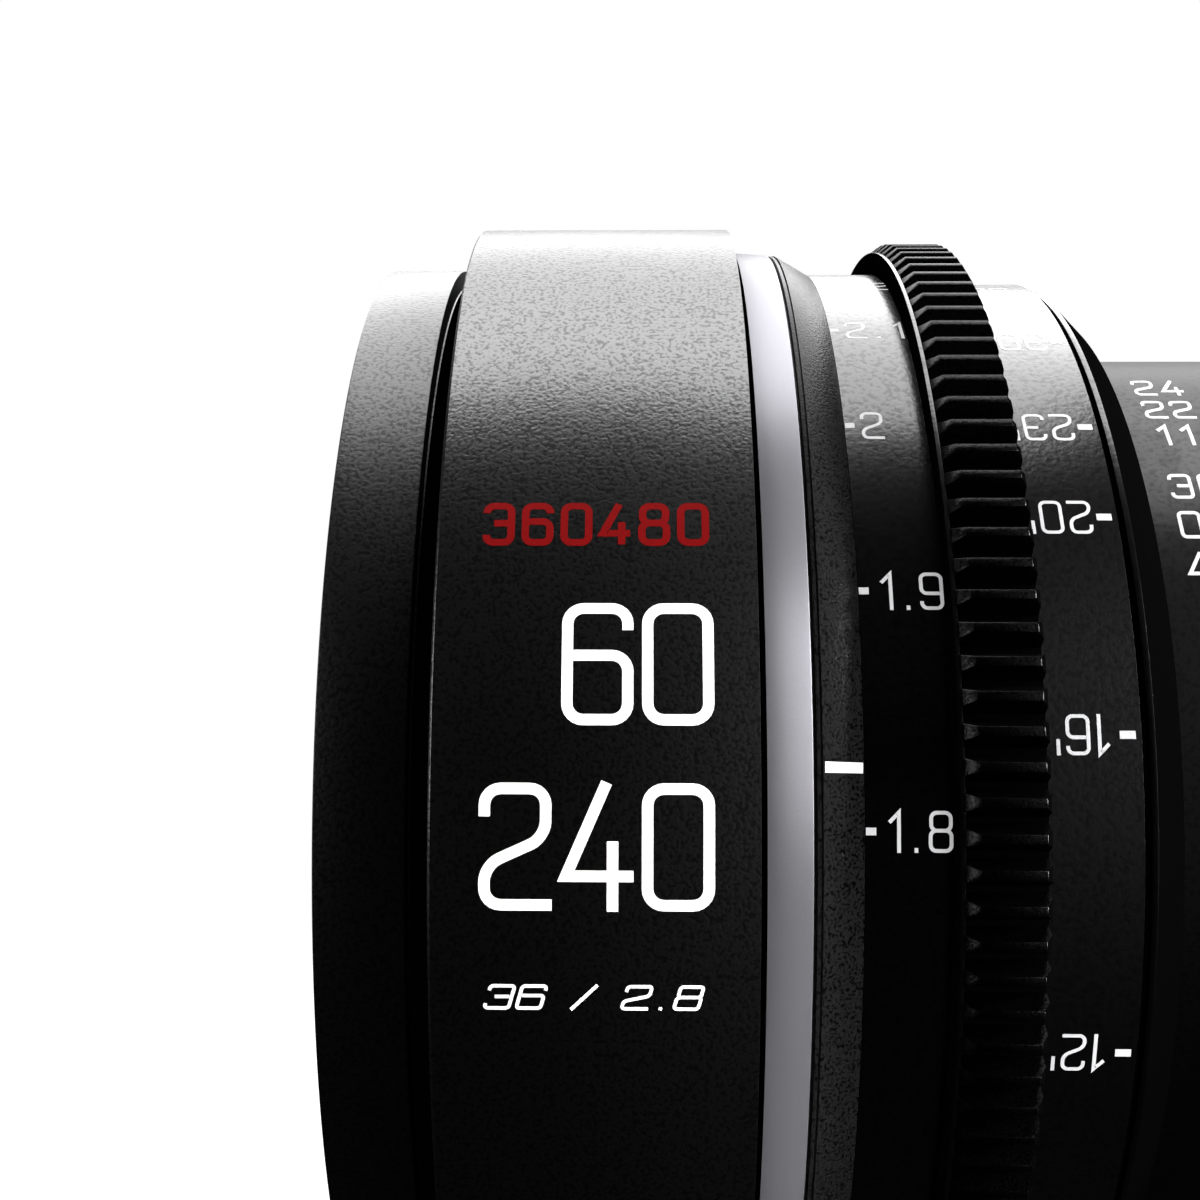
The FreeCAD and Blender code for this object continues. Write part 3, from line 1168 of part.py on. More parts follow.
pieces = {
    "filter_ring": filter_ring(),
    "front_drum": front_drum(),
    "front_lens_cell": front_lens_cell(),
    "front_retaining_ring": tube(X_CELL_STEP, X_FRONT_ELEMENT, FRONT_CLEAR_R, FRONT_GLASS_R),
    "front_element": lens(X_FRONT_ELEMENT, X_FRONT_SPACER, FRONT_GLASS_R, FRONT_CLEAR_R, 4.5, -2.0),
    "front_spacer_ring": tube(X_FRONT_SPACER, X_SECOND_ELEMENT, FRONT_CLEAR_R, FRONT_GLASS_R),
    "second_element": lens(X_SECOND_ELEMENT, X_CELL_SHOULDER, FRONT_GLASS_R, FRONT_CLEAR_R,
                           2.5, 1.5),
    "silver_ring": silver_ring(),
    "front_index_ring": front_index_ring(),
    "front_tube": front_tube(),
    "focus_ring": focus_ring(),
    "focus_helicoid": focus_helicoid(),
    "focus_cell": focus_cell(),
    "focus_pins": focus_pins(),
    "focus_element": lens(X_FOCUS_GLASS, X_FOCUS_GLASS + FOCUS_GLASS_T, FOCUS_GLASS_R,
                          FOCUS_CLEAR_R, 2.0, 3.0),
    "focus_retaining_ring": tube(X_FOCUS_GLASS - FOCUS_RETAINER_L, X_FOCUS_GLASS,
                                 FOCUS_CLEAR_R, FOCUS_GLASS_R),
    "rear_index_ring": rear_index_ring(),
    "main_barrel": main_barrel(),
    "guide_sleeve": guide_sleeve(),
    "cam_barrel": cam_barrel(),
    "zoom_ring": zoom_ring(),
    "zoom_studs": zoom_studs(),
    "variator_cell": zoom_cell(X_VARIATOR, VARIATOR_L, VARIATOR_GLASS_T),
    "variator_element": zoom_cell_glass(X_VARIATOR, VARIATOR_L, VARIATOR_GLASS_T, -1.6, -1.8),
    "variator_retaining_ring": zoom_cell_retainer(X_VARIATOR, VARIATOR_L),
    "variator_rollers": rollers(X_VARIATOR),
    "compensator_cell": zoom_cell(X_COMPENSATOR, COMPENSATOR_L, COMPENSATOR_GLASS_T),
    "compensator_element": zoom_cell_glass(X_COMPENSATOR, COMPENSATOR_L, COMPENSATOR_GLASS_T,
                                           1.4, 1.8),
    "compensator_retaining_ring": zoom_cell_retainer(X_COMPENSATOR, COMPENSATOR_L),
    "compensator_rollers": rollers(X_COMPENSATOR),
    "zoom_index_ring": zoom_index_ring(),
    "relay_housing": relay_housing(),
    "prime_element": lens(X_PRIME_GLASS, X_PRIME_GLASS + PRIME_GLASS_T, PRIME_GLASS_R,
                          PRIME_SHOULDER_R, 2.0, 1.5),
    "prime_retaining_ring": tube(X_PRIME_GLASS + PRIME_GLASS_T,
                                 X_PRIME_GLASS + PRIME_GLASS_T + RETAINER_L,
                                 PRIME_SHOULDER_R, PRIME_GLASS_R),
    "iris_pivot_plate": iris_pivot_plate(),
    "iris_drive_ring": iris_drive_ring(),
    "iris_ring": iris_ring(),
    "iris_stud": iris_stud(),
    "relay_cell": relay_cell(),
    "relay_element": lens(X_RELAY_NOSE + RELAY_SHOULDER_L,
                          X_RELAY_NOSE + RELAY_SHOULDER_L + RELAY_GLASS_T, RELAY_GLASS_R,
                          RELAY_CLEAR_R, 1.2, 2.2),
    "relay_retaining_ring": tube(X_RELAY_NOSE + RELAY_SHOULDER_L + RELAY_GLASS_T,
                                 X_RELAY_NOSE + RELAY_SHOULDER_L + RELAY_GLASS_T
                                 + RELAY_RETAINER_L, RELAY_CLEAR_R, RELAY_GLASS_R),
    "rear_barrel": rear_barrel(),
    "rear_lens_cell": rear_lens_cell(),
    "rear_element": lens(rear_glass_station(), rear_glass_station() + REAR_GLASS_T,
                         REAR_CELL_BORE_R, REAR_CLEAR_R, 1.5, 1.2),
    "rear_retaining_ring": tube(rear_glass_station() + REAR_GLASS_T,
                                rear_glass_station() + REAR_GLASS_T + REAR_RETAINER_L,
                                REAR_CLEAR_R, REAR_CELL_BORE_R),
    "mount_flange": mount_flange(),
    "mount_shim": mount_shim(),
    "mount_screws": mount_screws(),
    "support_foot": support_foot(),
    "foot_screws": foot_screws(),
    "stop_pins": stop_pins(),
}
for number in range(BLADE_COUNT):
    pieces["iris_blade_%d" % (number + 1)] = iris_blade(number)

for name, shape in pieces.items():
    shape.exportStep("parts/%s.step" % name)
    print("%-28s %2d solids %12.1f mm3" % (name, len(shape.Solids), shape.Volume))
print("%d pieces, front face at X = %.2f" % (len(pieces), X_FRONT))
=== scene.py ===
import json
from math import cos, pi, radians, sin, tan

import bmesh
import bpy
from mathutils import Matrix, Vector


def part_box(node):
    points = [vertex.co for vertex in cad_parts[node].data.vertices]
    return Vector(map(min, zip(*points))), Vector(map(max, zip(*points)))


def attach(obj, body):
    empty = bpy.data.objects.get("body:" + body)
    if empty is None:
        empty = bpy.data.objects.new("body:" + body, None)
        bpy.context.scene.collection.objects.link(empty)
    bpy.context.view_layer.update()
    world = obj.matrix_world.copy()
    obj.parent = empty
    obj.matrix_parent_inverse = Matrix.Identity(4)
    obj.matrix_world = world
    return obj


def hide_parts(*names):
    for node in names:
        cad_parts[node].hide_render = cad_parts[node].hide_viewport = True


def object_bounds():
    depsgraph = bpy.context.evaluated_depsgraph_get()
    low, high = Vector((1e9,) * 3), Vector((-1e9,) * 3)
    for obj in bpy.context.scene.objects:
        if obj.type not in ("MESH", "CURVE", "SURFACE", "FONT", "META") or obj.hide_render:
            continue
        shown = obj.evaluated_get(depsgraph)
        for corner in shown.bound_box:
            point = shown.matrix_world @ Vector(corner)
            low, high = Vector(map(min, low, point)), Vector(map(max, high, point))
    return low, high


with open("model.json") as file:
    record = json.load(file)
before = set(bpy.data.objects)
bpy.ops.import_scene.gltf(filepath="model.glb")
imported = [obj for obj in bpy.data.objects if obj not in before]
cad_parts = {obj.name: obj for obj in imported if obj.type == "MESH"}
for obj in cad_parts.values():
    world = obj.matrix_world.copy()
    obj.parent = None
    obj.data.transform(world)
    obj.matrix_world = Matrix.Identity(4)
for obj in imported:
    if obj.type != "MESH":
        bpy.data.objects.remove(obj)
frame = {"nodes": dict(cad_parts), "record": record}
cad_low, cad_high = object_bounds()

# Camera: a normal lens close to the side of the front drum, a little above the table, pitched
# up by eight degrees, so that the rings bow away to both sides.
camera_data = bpy.data.cameras.new("photo_camera")
camera_data.sensor_width = 36.0
camera_data.lens = 48.51
camera_data.clip_start = 0.01
camera = bpy.data.objects.new("photo_camera", camera_data)
camera.location = (-0.23871, -0.17137, -0.00432)
camera.rotation_euler = (radians(97.981), radians(-0.277), radians(1.102))
bpy.context.scene.collection.objects.link(camera)
bpy.context.scene.camera = camera
bpy.context.scene.view_settings.view_transform = "Standard"


# Studio: a white sweep around the lens, one broad softbox over it and a small one at each side.
# The air is white to the camera and to glass, and for gloss it is light only behind and above
# the lens, as black flags beside the camera make it.
def ramp(tree, source, low, high, least, most):
    """A smooth ramp that gives least up to low, and most from high on."""
    slope = tree.nodes.new("ShaderNodeMapRange")
    slope.interpolation_type = "SMOOTHSTEP"
    slope.inputs["From Min"].default_value = low
    slope.inputs["From Max"].default_value = high
    slope.inputs["To Min"].default_value = least
    slope.inputs["To Max"].default_value = most
    tree.links.new(source, slope.inputs["Value"])
    return slope.outputs["Result"]


def joined(tree, operation, first, second):
    """Two values made one: MULTIPLY, or MAXIMUM for either of the two."""
    join = tree.nodes.new("ShaderNodeMath")
    join.operation = operation
    tree.links.new(first, join.inputs[0])
    tree.links.new(second, join.inputs[1])
    return join.outputs["Value"]


def mixed(tree, share, first, second):
    """The first shader where the share is none, and the second where it is full."""
    mix = tree.nodes.new("ShaderNodeMixShader")
    tree.links.new(share, mix.inputs["Fac"])
    tree.links.new(first, mix.inputs[1])
    tree.links.new(second, mix.inputs[2])
    return mix.outputs["Shader"]


world = bpy.data.worlds.new("studio")
bpy.context.scene.world = world
world.use_nodes = True
sky = world.node_tree
sky.nodes.clear()
sky_out = sky.nodes.new("ShaderNodeOutputWorld")
plain_air = sky.nodes.new("ShaderNodeBackground")
plain_air.inputs["Color"].default_value = (1.0, 1.0, 1.0, 1.0)
plain_air.inputs["Strength"].default_value = 1.0
lit_air = sky.nodes.new("ShaderNodeBackground")
lit_air.inputs["Color"].default_value = (1.0, 1.0, 1.0, 1.0)
lit_air.inputs["Strength"].default_value = 0.42
gloss_air = sky.nodes.new("ShaderNodeBackground")
gloss_air.inputs["Strength"].default_value = 1.0
direction = sky.nodes.new("ShaderNodeTexCoord")
axes = sky.nodes.new("ShaderNodeSeparateXYZ")
path = sky.nodes.new("ShaderNodeLightPath")
sky.links.new(direction.outputs["Generated"], axes.inputs["Vector"])
light_behind = ramp(sky, axes.outputs["Y"], 0.25, 0.8, 0.02, 0.62)
light_above = ramp(sky, axes.outputs["Z"], 0.0, 0.35, 0.04, 1.0)
sky.links.new(joined(sky, "MULTIPLY", light_behind, light_above), gloss_air.inputs["Color"])
air = mixed(sky, path.outputs["Is Glossy Ray"], lit_air.outputs["Background"],
            gloss_air.outputs["Background"])
seen = joined(sky, "MAXIMUM", path.outputs["Is Camera Ray"], path.outputs["Is Transmission Ray"])
air = mixed(sky, seen, air, plain_air.outputs["Background"])
sky.links.new(air, sky_out.inputs["Surface"])


def softbox(name, place, aim, width, height, watts):
    """An area lamp at a place, turned towards a point, all in metres."""
    lamp = bpy.data.lights.new(name, "AREA")
    lamp.shape = "RECTANGLE"
    lamp.size, lamp.size_y = width, height
    lamp.energy = watts
    box = bpy.data.objects.new(name, lamp)
    bpy.context.scene.collection.objects.link(box)
    box.location = place
    box.rotation_euler = (Vector(aim) - Vector(place)).to_track_quat("-Z", "Y").to_euler()
    return box


front_end = (-0.22, 0.0, 0.0)
over_lens = softbox("softbox_over", (-0.22, 0.19, 0.64), front_end, 0.8, 0.86, 16.0)
at_left = softbox("softbox_left", (-0.92, -0.26, 0.13), front_end, 0.4, 0.36, 2.0)
at_right = softbox("softbox_right", (0.5, -0.06, 0.115), front_end, 0.25, 0.35, 44.0)

# Table: a plain white sheet a tenth of a millimetre under the lens. It keeps the lens's shadow
# and is otherwise as white as the air behind it. Gloss sees it lit only behind the lens.
table_half, table_middle, table_gap = 4.0, -0.12, 0.0001
table_mesh = bmesh.new()
bmesh.ops.create_grid(table_mesh, x_segments=1, y_segments=1, size=table_half)
table_data = bpy.data.meshes.new("table")
table_mesh.to_mesh(table_data)
table_mesh.free()
table_data.transform(Matrix.Translation((table_middle, 0.0, cad_low.z - table_gap)))
table = bpy.data.objects.new("table", table_data)
bpy.context.scene.collection.objects.link(table)

table_white = bpy.data.materials.new("table_white")
table_white.use_nodes = True
sheet = table_white.node_tree
sheet.nodes.clear()
sheet_out = sheet.nodes.new("ShaderNodeOutputMaterial")
sheet_matt = sheet.nodes.new("ShaderNodeBsdfDiffuse")
sheet_matt.inputs["Color"].default_value = (0.86, 0.86, 0.86, 1.0)
sheet_glow = sheet.nodes.new("ShaderNodeEmission")
sheet_glow.inputs["Strength"].default_value = 1.0
sheet_gloss = sheet.nodes.new("ShaderNodeEmission")
sheet_place = sheet.nodes.new("ShaderNodeTexCoord")
sheet_axes = sheet.nodes.new("ShaderNodeSeparateXYZ")
sheet_far = sheet.nodes.new("ShaderNodeVectorMath")
sheet_far.operation = "LENGTH"
sheet_path = sheet.nodes.new("ShaderNodeLightPath")
sheet.links.new(sheet_place.outputs["Object"], sheet_far.inputs[0])
sheet.links.new(sheet_place.outputs["Object"], sheet_axes.inputs["Vector"])
sheet_share = ramp(sheet, sheet_far.outputs["Value"], 0.25, 1.1, 0.8, 1.0)
sheet.links.new(ramp(sheet, sheet_axes.outputs["Y"], -0.02, 0.3, 0.02, 1.0),
                sheet_gloss.inputs["Color"])
sheet_seen = joined(sheet, "MAXIMUM", sheet_path.outputs["Is Camera Ray"],
                    sheet_path.outputs["Is Transmission Ray"])
white = mixed(sheet, joined(sheet, "MULTIPLY", sheet_seen, sheet_share),
              sheet_matt.outputs["BSDF"], sheet_glow.outputs["Emission"])
white = mixed(sheet, sheet_path.outputs["Is Glossy Ray"], white, sheet_gloss.outputs["Emission"])
sheet.links.new(white, sheet_out.inputs["Surface"])
table_data.materials.append(table_white)

# Front drum: the widest ring, turned from aluminium and black anodised, with a fine
# orange-peel mottle. It is a shell with a front wall, screwed over the front glass cell.
MM = 0.001
STEPS = 256


def finish_piece(mesh, name, material, body, stands_for=()):
    """Turns a bmesh into a piece that rides on a body of the lens."""
    data = bpy.data.meshes.new(name)
    mesh.to_mesh(data)
    mesh.free()
    data.materials.append(material)
    data.shade_smooth()
    data.set_sharp_from_angle(angle=radians(32))
    piece = bpy.data.objects.new(name, data)
    bpy.context.scene.collection.objects.link(piece)
    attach(piece, body)
    if stands_for:
        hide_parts(*stands_for)
    return piece


def lathe(outline, edge):
    """A ring turned about the lens axis from (x, radius) corners in mm, its edges broken."""
    mesh = bmesh.new()
    corners = [mesh.verts.new((x * MM, -r * MM, 0.0)) for x, r in outline]
    for a, b in zip(corners, corners[1:] + corners[:1]):
        mesh.edges.new((a, b))
    bmesh.ops.bevel(mesh, geom=corners, offset=edge * MM, segments=2, profile=0.5,
                    affect="VERTICES", material=-1)
    bmesh.ops.spin(mesh, geom=mesh.verts[:] + mesh.edges[:], cent=(0, 0, 0), axis=(1, 0, 0),
                   angle=2 * pi, steps=STEPS, use_merge=True)
    bmesh.ops.recalc_face_normals(mesh, faces=mesh.faces)
    return mesh


def black_anodised(name, shine, hollow, rough, grain_mm, peel, metallic=1.0, specular=0.5,
                   edge=1.0):
    """Satin black coat on metal. Its orange peel has hollows that shine less, like dark specks.
    Peel is how deep it looks, and a lower edge dims the sheen where the eye glances along."""
    material = bpy.data.materials.new(name)
    material.use_nodes = True
    tree = material.node_tree
    coat = tree.nodes["Principled BSDF"]
    coat.inputs["Metallic"].default_value = metallic
    coat.inputs["Specular IOR Level"].default_value = specular
    coat.inputs["Specular Tint"].default_value = (edge, edge, edge, 1.0)
    coat.inputs["Roughness"].default_value = rough
    place = tree.nodes.new("ShaderNodeTexCoord")
    grain = tree.nodes.new("ShaderNodeTexNoise")
    grain.inputs["Scale"].default_value = 1.0 / (grain_mm * MM)
    grain.inputs["Detail"].default_value = 1.5
    grain.inputs["Roughness"].default_value = 0.5
    tree.links.new(place.outputs["Object"], grain.inputs["Vector"])
    tree.links.new(ramp(tree, grain.outputs["Fac"], 0.36, 0.52, hollow, shine),
                   coat.inputs["Base Color"])
    bump = tree.nodes.new("ShaderNodeBump")
    bump.inputs["Strength"].default_value = peel
    bump.inputs["Distance"].default_value = 0.06 * MM
    tree.links.new(grain.outputs["Fac"], bump.inputs["Height"])
    tree.links.new(bump.outputs["Normal"], coat.inputs["Normal"])
    return material


drum_low, drum_high = (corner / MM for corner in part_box("front_drum"))
drum_front, drum_rear, drum_r = drum_low.x, drum_high.x, drum_high.y
drum_wall, drum_lip, drum_chamfer = 2.7, 6.0, 0.2
drum_black = black_anodised("drum_black", 0.09, 0.05, 0.285, 0.31, 0.5, edge=0.6)
drum = lathe([
    (drum_front, drum_r - drum_lip), (drum_front, drum_r - drum_chamfer),
    (drum_front + drum_chamfer, drum_r), (drum_rear, drum_r), (drum_rear, drum_r - drum_wall),
    (drum_front + drum_wall, drum_r - drum_wall), (drum_front + drum_wall, drum_r - drum_lip),
], 0.03)
finish_piece(drum, "drum_shell", drum_black, "barrel", ["front_drum"])

# Drum numbers: white enamel in shallow engraving, each numeral one stroke of even width with
# rounded corners and square ends, and a line of plain red numbers over them.
END, TAIL = 0.054, 0.10
numerals = {
    "0": [([(0, 0), (1, 0), (1, 1), (0, 1)], "0123", True)],
    "1": [([(0.2, 0.74), (0.66, 1), (0.66, -END)], "", False)],
    "2": [([(0, 0.76), (0, 1), (1, 1), (1, 0.58), (0, 0.34), (0, 0), (1 + TAIL, 0)], "12345",
           False)],
    "3": [([(0, 0.8), (0, 1), (1, 1), (1, 0), (0, 0), (0, 0.2)], "1234", False),
          ([(0.3, 0.52), (0.9, 0.52)], "", False)],
    "4": [([(0.66, 1 + END), (0, 0.25), (1 + TAIL, 0.25)], "", False),
          ([(0.76, 0.55), (0.76, -END)], "", False)],
    "5": [([(1 + TAIL, 1), (0.04, 1), (0.04, 0.57), (1, 0.57), (1, 0), (0, 0), (0, 0.22)], "345",
           False)],
    "6": [([(1, 0.8), (1, 1), (0, 1), (0, 0), (1, 0), (1, 0.57), (0.1, 0.57)], "12345", False)],
    "7": [([(-TAIL, 1), (1, 1), (0.3, -END)], "", False)],
    "8": [([(0, 0), (1, 0), (1, 0.53), (0, 0.53)], "0123", True),
          ([(0.03, 0.53), (0.03, 1), (0.97, 1), (0.97, 0.53)], "0123", True)],
    "9": [([(0.9, 0.43), (0, 0.43), (0, 1), (1, 1), (1, 0), (0, 0), (0, 0.2)], "12345", False)],
    "/": [([(0.1, -END), (0.9, 1 + END)], "", False)],
    ".": [([(0.5, -END), (0.5, 0.075)], "", False)],
    "'": [([(0.0, 0.62), (0.0, 1 + END)], "", False)],
    "-": [([(0, 0.5), (1, 0.5)], "", False)],
}
step_after = {"1": 0.77, ".": 0.58, "'": 0.3, " ": 0.6}


def written_width(text, wide, gap):
    """Length of a line of numerals, from its first stroke to its last, in mm."""
    return sum(step_after.get(c, 1.0) * wide for c in text) + gap * (len(text) - 1)


def lettering(name, lines, radius, stroke, round_off, material, body, slant=0.0):
    """Lines of numerals wrapped on a ring. A line is text, x and angle of its lower left
    corner, numeral width, height and gap in mm, and 1 to read forwards or -1 for upside down."""
    mesh = bmesh.new()
    for text, x, angle, wide, size, gap, way in lines:
        along = 0.0
        for character in text:
            narrow = step_after.get(character, 1.0)
            for order, (points, rounded, closed) in enumerate(numerals.get(character, [])):
                row = []
                for u, v in points:
                    u = u * (narrow if character in ".'" else 1.0)
                    across = along + u * (wide - stroke) + stroke / 2 + slant * v * size
                    up = v * (size - stroke) + stroke / 2
                    # A second stroke stands a hair prouder, so that crossings stay clean.
                    spot = (x + way * across, radians(angle) * radius + way * up, 0.02 * order)
                    row.append(mesh.verts.new(spot))
                links = [mesh.edges.new(pair) for pair in zip(row, row[1:])]
                if closed:
                    links.append(mesh.edges.new((row[-1], row[0])))
                bends = [row[int(i)] for i in rounded]
                if bends:
                    bmesh.ops.bevel(mesh, geom=bends, offset=round_off, segments=6,
                                    profile=0.5, affect="VERTICES", material=-1)
            along += narrow * wide + gap
    # Long strokes are cut up, so that they follow the ring, and then raised to a wall.
    bmesh.ops.subdivide_edges(mesh, edges=[e for e in mesh.edges if e.calc_length() > 0.8],
                              cuts=5)
    walls = bmesh.ops.extrude_edge_only(mesh, edges=mesh.edges[:])["geom"]
    tops = [item for item in walls if isinstance(item, bmesh.types.BMVert)]
    bmesh.ops.translate(mesh, verts=tops, vec=(0, 0, 1.0))
    bmesh.ops.recalc_face_normals(mesh, faces=mesh.faces)
    flat = bpy.data.meshes.new(name + "_flat")
    mesh.to_mesh(flat)
    mesh.free()
    draft = bpy.data.objects.new(name + "_flat", flat)
    bpy.context.scene.collection.objects.link(draft)
    widen = draft.modifiers.new("stroke", "SOLIDIFY")
    widen.thickness = stroke
    widen.offset = 0.0
    widen.use_even_offset = True
    solid = bpy.data.meshes.new_from_object(
        draft.evaluated_get(bpy.context.evaluated_depsgraph_get()))
    bpy.data.objects.remove(draft)
    mesh = bmesh.new()
    mesh.from_mesh(solid)
    bpy.data.meshes.remove(solid)
    sunk, thick = 0.05, 0.062
    for vert in mesh.verts:
        depth = radius - sunk + vert.co.z * thick
        turn = vert.co.y / radius
        vert.co = Vector((vert.co.x, -depth * cos(turn), depth * sin(turn))) * MM
    bmesh.ops.recalc_face_normals(mesh, faces=mesh.faces)
    finish_piece(mesh, name, material, body)


def enamel(name, colour, rough, specular=0.5):
    """Plain paint of one colour."""
    material = bpy.data.materials.new(name)
    material.use_nodes = True
    paint = material.node_tree.nodes["Principled BSDF"]
    paint.inputs["Base Color"].default_value = (*colour, 1.0)
    paint.inputs["Roughness"].default_value = rough
    paint.inputs["Specular IOR Level"].default_value = specular
    return material


white_enamel = enamel("white_enamel", (0.9, 0.9, 0.9), 0.5)
red_enamel = enamel("red_enamel", (0.12, 0.0003, 0.0006), 0.3, 0.25)
big_high, big_wide, big_gap, big_stroke, big_round = 8.95, 5.12, 0.62, 0.80, 1.15
upper_x = drum_front + 20.25 - written_width("60", big_wide, big_gap)
lettering("drum_numbers", [
    ("60", upper_x, 2.8, big_wide, big_high, big_gap, 1),
    ("240", drum_front + 3.65, -10.28, big_wide, big_high, big_gap, 1),
], drum_r, big_stroke, big_round, white_enamel, "barrel")
lettering("drum_small_numbers", [("36 / 2.8", drum_front + 3.9, -17.5, 1.95, 1.88, 0.3, 1)],
          drum_r, 0.24, 0.22, white_enamel, "barrel", slant=0.25)
lettering("drum_red_numbers", [("360480", drum_front + 3.4, 16.35, 2.36, 3.6, 0.5, 1)],
          drum_r, 0.55, 0.55, red_enamel, "barrel")

# Front rim: a separate ring in front of the drum, with the filter thread inside and a channel
# between it and the drum. Same coat as the drum, a little coarser. From the channel back its
# faces carry painted shade.
rim_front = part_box("filter_ring")[0].x / MM
channel_front, rim_r, channel_r = rim_front + 6.8, 53.1, 51.4
rim_seat, rim_throat, thread_rear = 48.98, 46.0, rim_front + 5.4
thread_r, thread_pitch, thread_depth = 46.95, 1.0, 0.45
rim_black = black_anodised("rim_black", 0.054, 0.031, 0.36, 0.34, 0.5, edge=0.85)
rim_outline = [
    (rim_front, 47.3), (rim_front, rim_r), (channel_front, rim_r), (channel_front, channel_r),
    (drum_front, channel_r), (drum_front, rim_seat), (drum_front + 3.0, rim_seat),
    (drum_front + 3.0, rim_throat), (thread_rear, rim_throat),
]
groove_x = rim_front + 5.3
while groove_x > rim_front + 0.9:
    rim_outline += [(groove_x, thread_r + thread_depth), (groove_x - thread_pitch / 2, thread_r)]
    groove_x -= thread_pitch
rim = lathe(rim_outline, 0.16)
front_rim = finish_piece(rim, "front_rim", rim_black, "barrel", ["filter_ring"])
# Painted shade: a near-black paint without sheen, put on faces where shade falls.
painted_shade_black = enamel("painted_shade_black", (0.0005, 0.0005, 0.0005), 0.6, 0.0)


def darken(piece, takes_painted_shade):
    """Gives the chosen faces of a piece a flat black without sheen: painted shade for grooves and
    for faces turned away from the light.
    """
    piece.data.materials.append(painted_shade_black)
    for face in piece.data.polygons:
        face.material_index = int(takes_painted_shade(face))


# Painted shade: the channel and every face behind its front edge are painted flat black.
darken(front_rim, lambda face: face.center.x > (channel_front + 0.2) * MM)

# Silver ring: turned aluminium, blasted with fine beads and left clear, with a soft sheen that
# runs round it. A black line of painted shade, on its low front step, separates it from the drum.
silver_low, silver_high = (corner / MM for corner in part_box("silver_ring"))
silver = bpy.data.materials.new("bead_blasted_silver")
silver.use_nodes = True
silver_tree = silver.node_tree
silver_metal = silver_tree.nodes["Principled BSDF"]
silver_metal.inputs["Base Color"].default_value = (0.27, 0.266, 0.29, 1.0)
silver_metal.inputs["Specular Tint"].default_value = (0.6, 0.6, 0.6, 1.0)
silver_metal.inputs["Metallic"].default_value = 0.7
silver_metal.inputs["Anisotropic"].default_value = 1.0
silver_metal.inputs["Anisotropic Rotation"].default_value = 0.25
silver_turned = silver_tree.nodes.new("ShaderNodeTangent")
silver_turned.direction_type = "RADIAL"
silver_turned.axis = "X"
silver_tree.links.new(silver_turned.outputs["Tangent"], silver_metal.inputs["Tangent"])
silver_place = silver_tree.nodes.new("ShaderNodeTexCoord")
bead_mm = 0.13
bead = silver_tree.nodes.new("ShaderNodeTexNoise")
bead.inputs["Scale"].default_value = 1.0 / (bead_mm * MM)
bead.inputs["Detail"].default_value = 3.0
silver_tree.links.new(silver_place.outputs["Object"], bead.inputs["Vector"])
bead_gloss = silver_tree.nodes.new("ShaderNodeMapRange")
bead_gloss.inputs["To Min"].default_value = 0.52
bead_gloss.inputs["To Max"].default_value = 0.66
silver_tree.links.new(bead.outputs["Fac"], bead_gloss.inputs["Value"])
silver_tree.links.new(bead_gloss.outputs["Result"], silver_metal.inputs["Roughness"])
bead_bump = silver_tree.nodes.new("ShaderNodeBump")
bead_bump.inputs["Strength"].default_value = 0.35
bead_bump.inputs["Distance"].default_value = 0.02 * MM
silver_tree.links.new(bead.outputs["Fac"], bead_bump.inputs["Height"])
silver_tree.links.new(bead_bump.outputs["Normal"], silver_metal.inputs["Normal"])
silver_front, silver_rear, line_r, ring_bore = drum_rear + 0.6, silver_high.x, 53.9, 51.02
silver_ring = lathe([
    (silver_low.x, ring_bore), (silver_low.x, line_r), (silver_front, line_r),
    (silver_front, 54.8), (silver_rear - 0.07, 54.55), (silver_rear, 54.48),
    (silver_rear, ring_bore),
], 0.02)
silver_band = finish_piece(silver_ring, "silver_band", silver, "barrel",
                           ["silver_ring"])
# Painted shade: the low step in front of the band is painted flat black to give the dark line by
# the drum.
darken(silver_band, lambda face: face.center.x < (silver_front + 0.02) * MM)

# Front index ring: a low cone in a greyer, grainy black coat. Its white mark is what the metre
# scale is read against.
index_low, index_high = (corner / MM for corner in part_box("front_index_ring"))
grain_black = black_anodised("grain_black", 0.009, 0.001, 0.29, 0.22, 0.7, 0.0, 0.045)
index_front, index_rear = index_low.x + 0.75, index_high.x
index_ring = lathe([
    (index_low.x, ring_bore), (index_low.x, 53.7), (index_front - 0.48, 53.7),
    (index_front - 0.48, 54.45), (index_front - 0.20, 54.45), (index_front - 0.20, 54.1),
    (index_front - 0.06, 54.1), (index_front - 0.06, 54.5), (index_rear + 0.08, 52.66),
    (index_rear + 0.08, ring_bore),
], 0.03)
finish_piece(index_ring, "front_index_band", grain_black, "barrel",
             ["front_index_ring"])


def wrapped_bar(mesh, x, angle, radius, length, height, depth, proud):
    """A flat bar along the axis, bent round the ring: low corner x, middle angle, sizes in mm."""
    made = bmesh.ops.create_cube(mesh, size=1.0)["verts"]
    bmesh.ops.scale(mesh, verts=made, vec=(length, height, depth))
    bmesh.ops.translate(mesh, verts=made, vec=(x + length / 2, 0, radius + proud - depth / 2))
    round_ring = {e for v in made for e in v.link_edges
                  if abs((e.verts[0].co - e.verts[1].co).y) > 0}
    bmesh.ops.subdivide_edges(mesh, edges=list(round_ring), cuts=3, use_grid_fill=True)
    for vert in [v for v in mesh.verts if not v.tag]:
        turn = vert.co.y / radius + radians(angle)
        vert.co = Vector((vert.co.x, -vert.co.z * cos(turn), vert.co.z * sin(turn))) * MM
        vert.tag = True


index_mark = bmesh.new()
mark_r, cone_r, cone_drop = 53.6, 54.53, 1.8
wrapped_bar(index_mark, index_front + 0.1, 0.0, mark_r, index_rear - index_front - 0.1, 0.78,
            0.4, 0.0)
for vert in index_mark.verts:
    share = (vert.co.x / MM - index_front) / (index_rear - index_front)
    vert.co.y *= (cone_r - cone_drop * share) / mark_r
finish_piece(index_mark, "front_index_mark", white_enamel, "barrel")

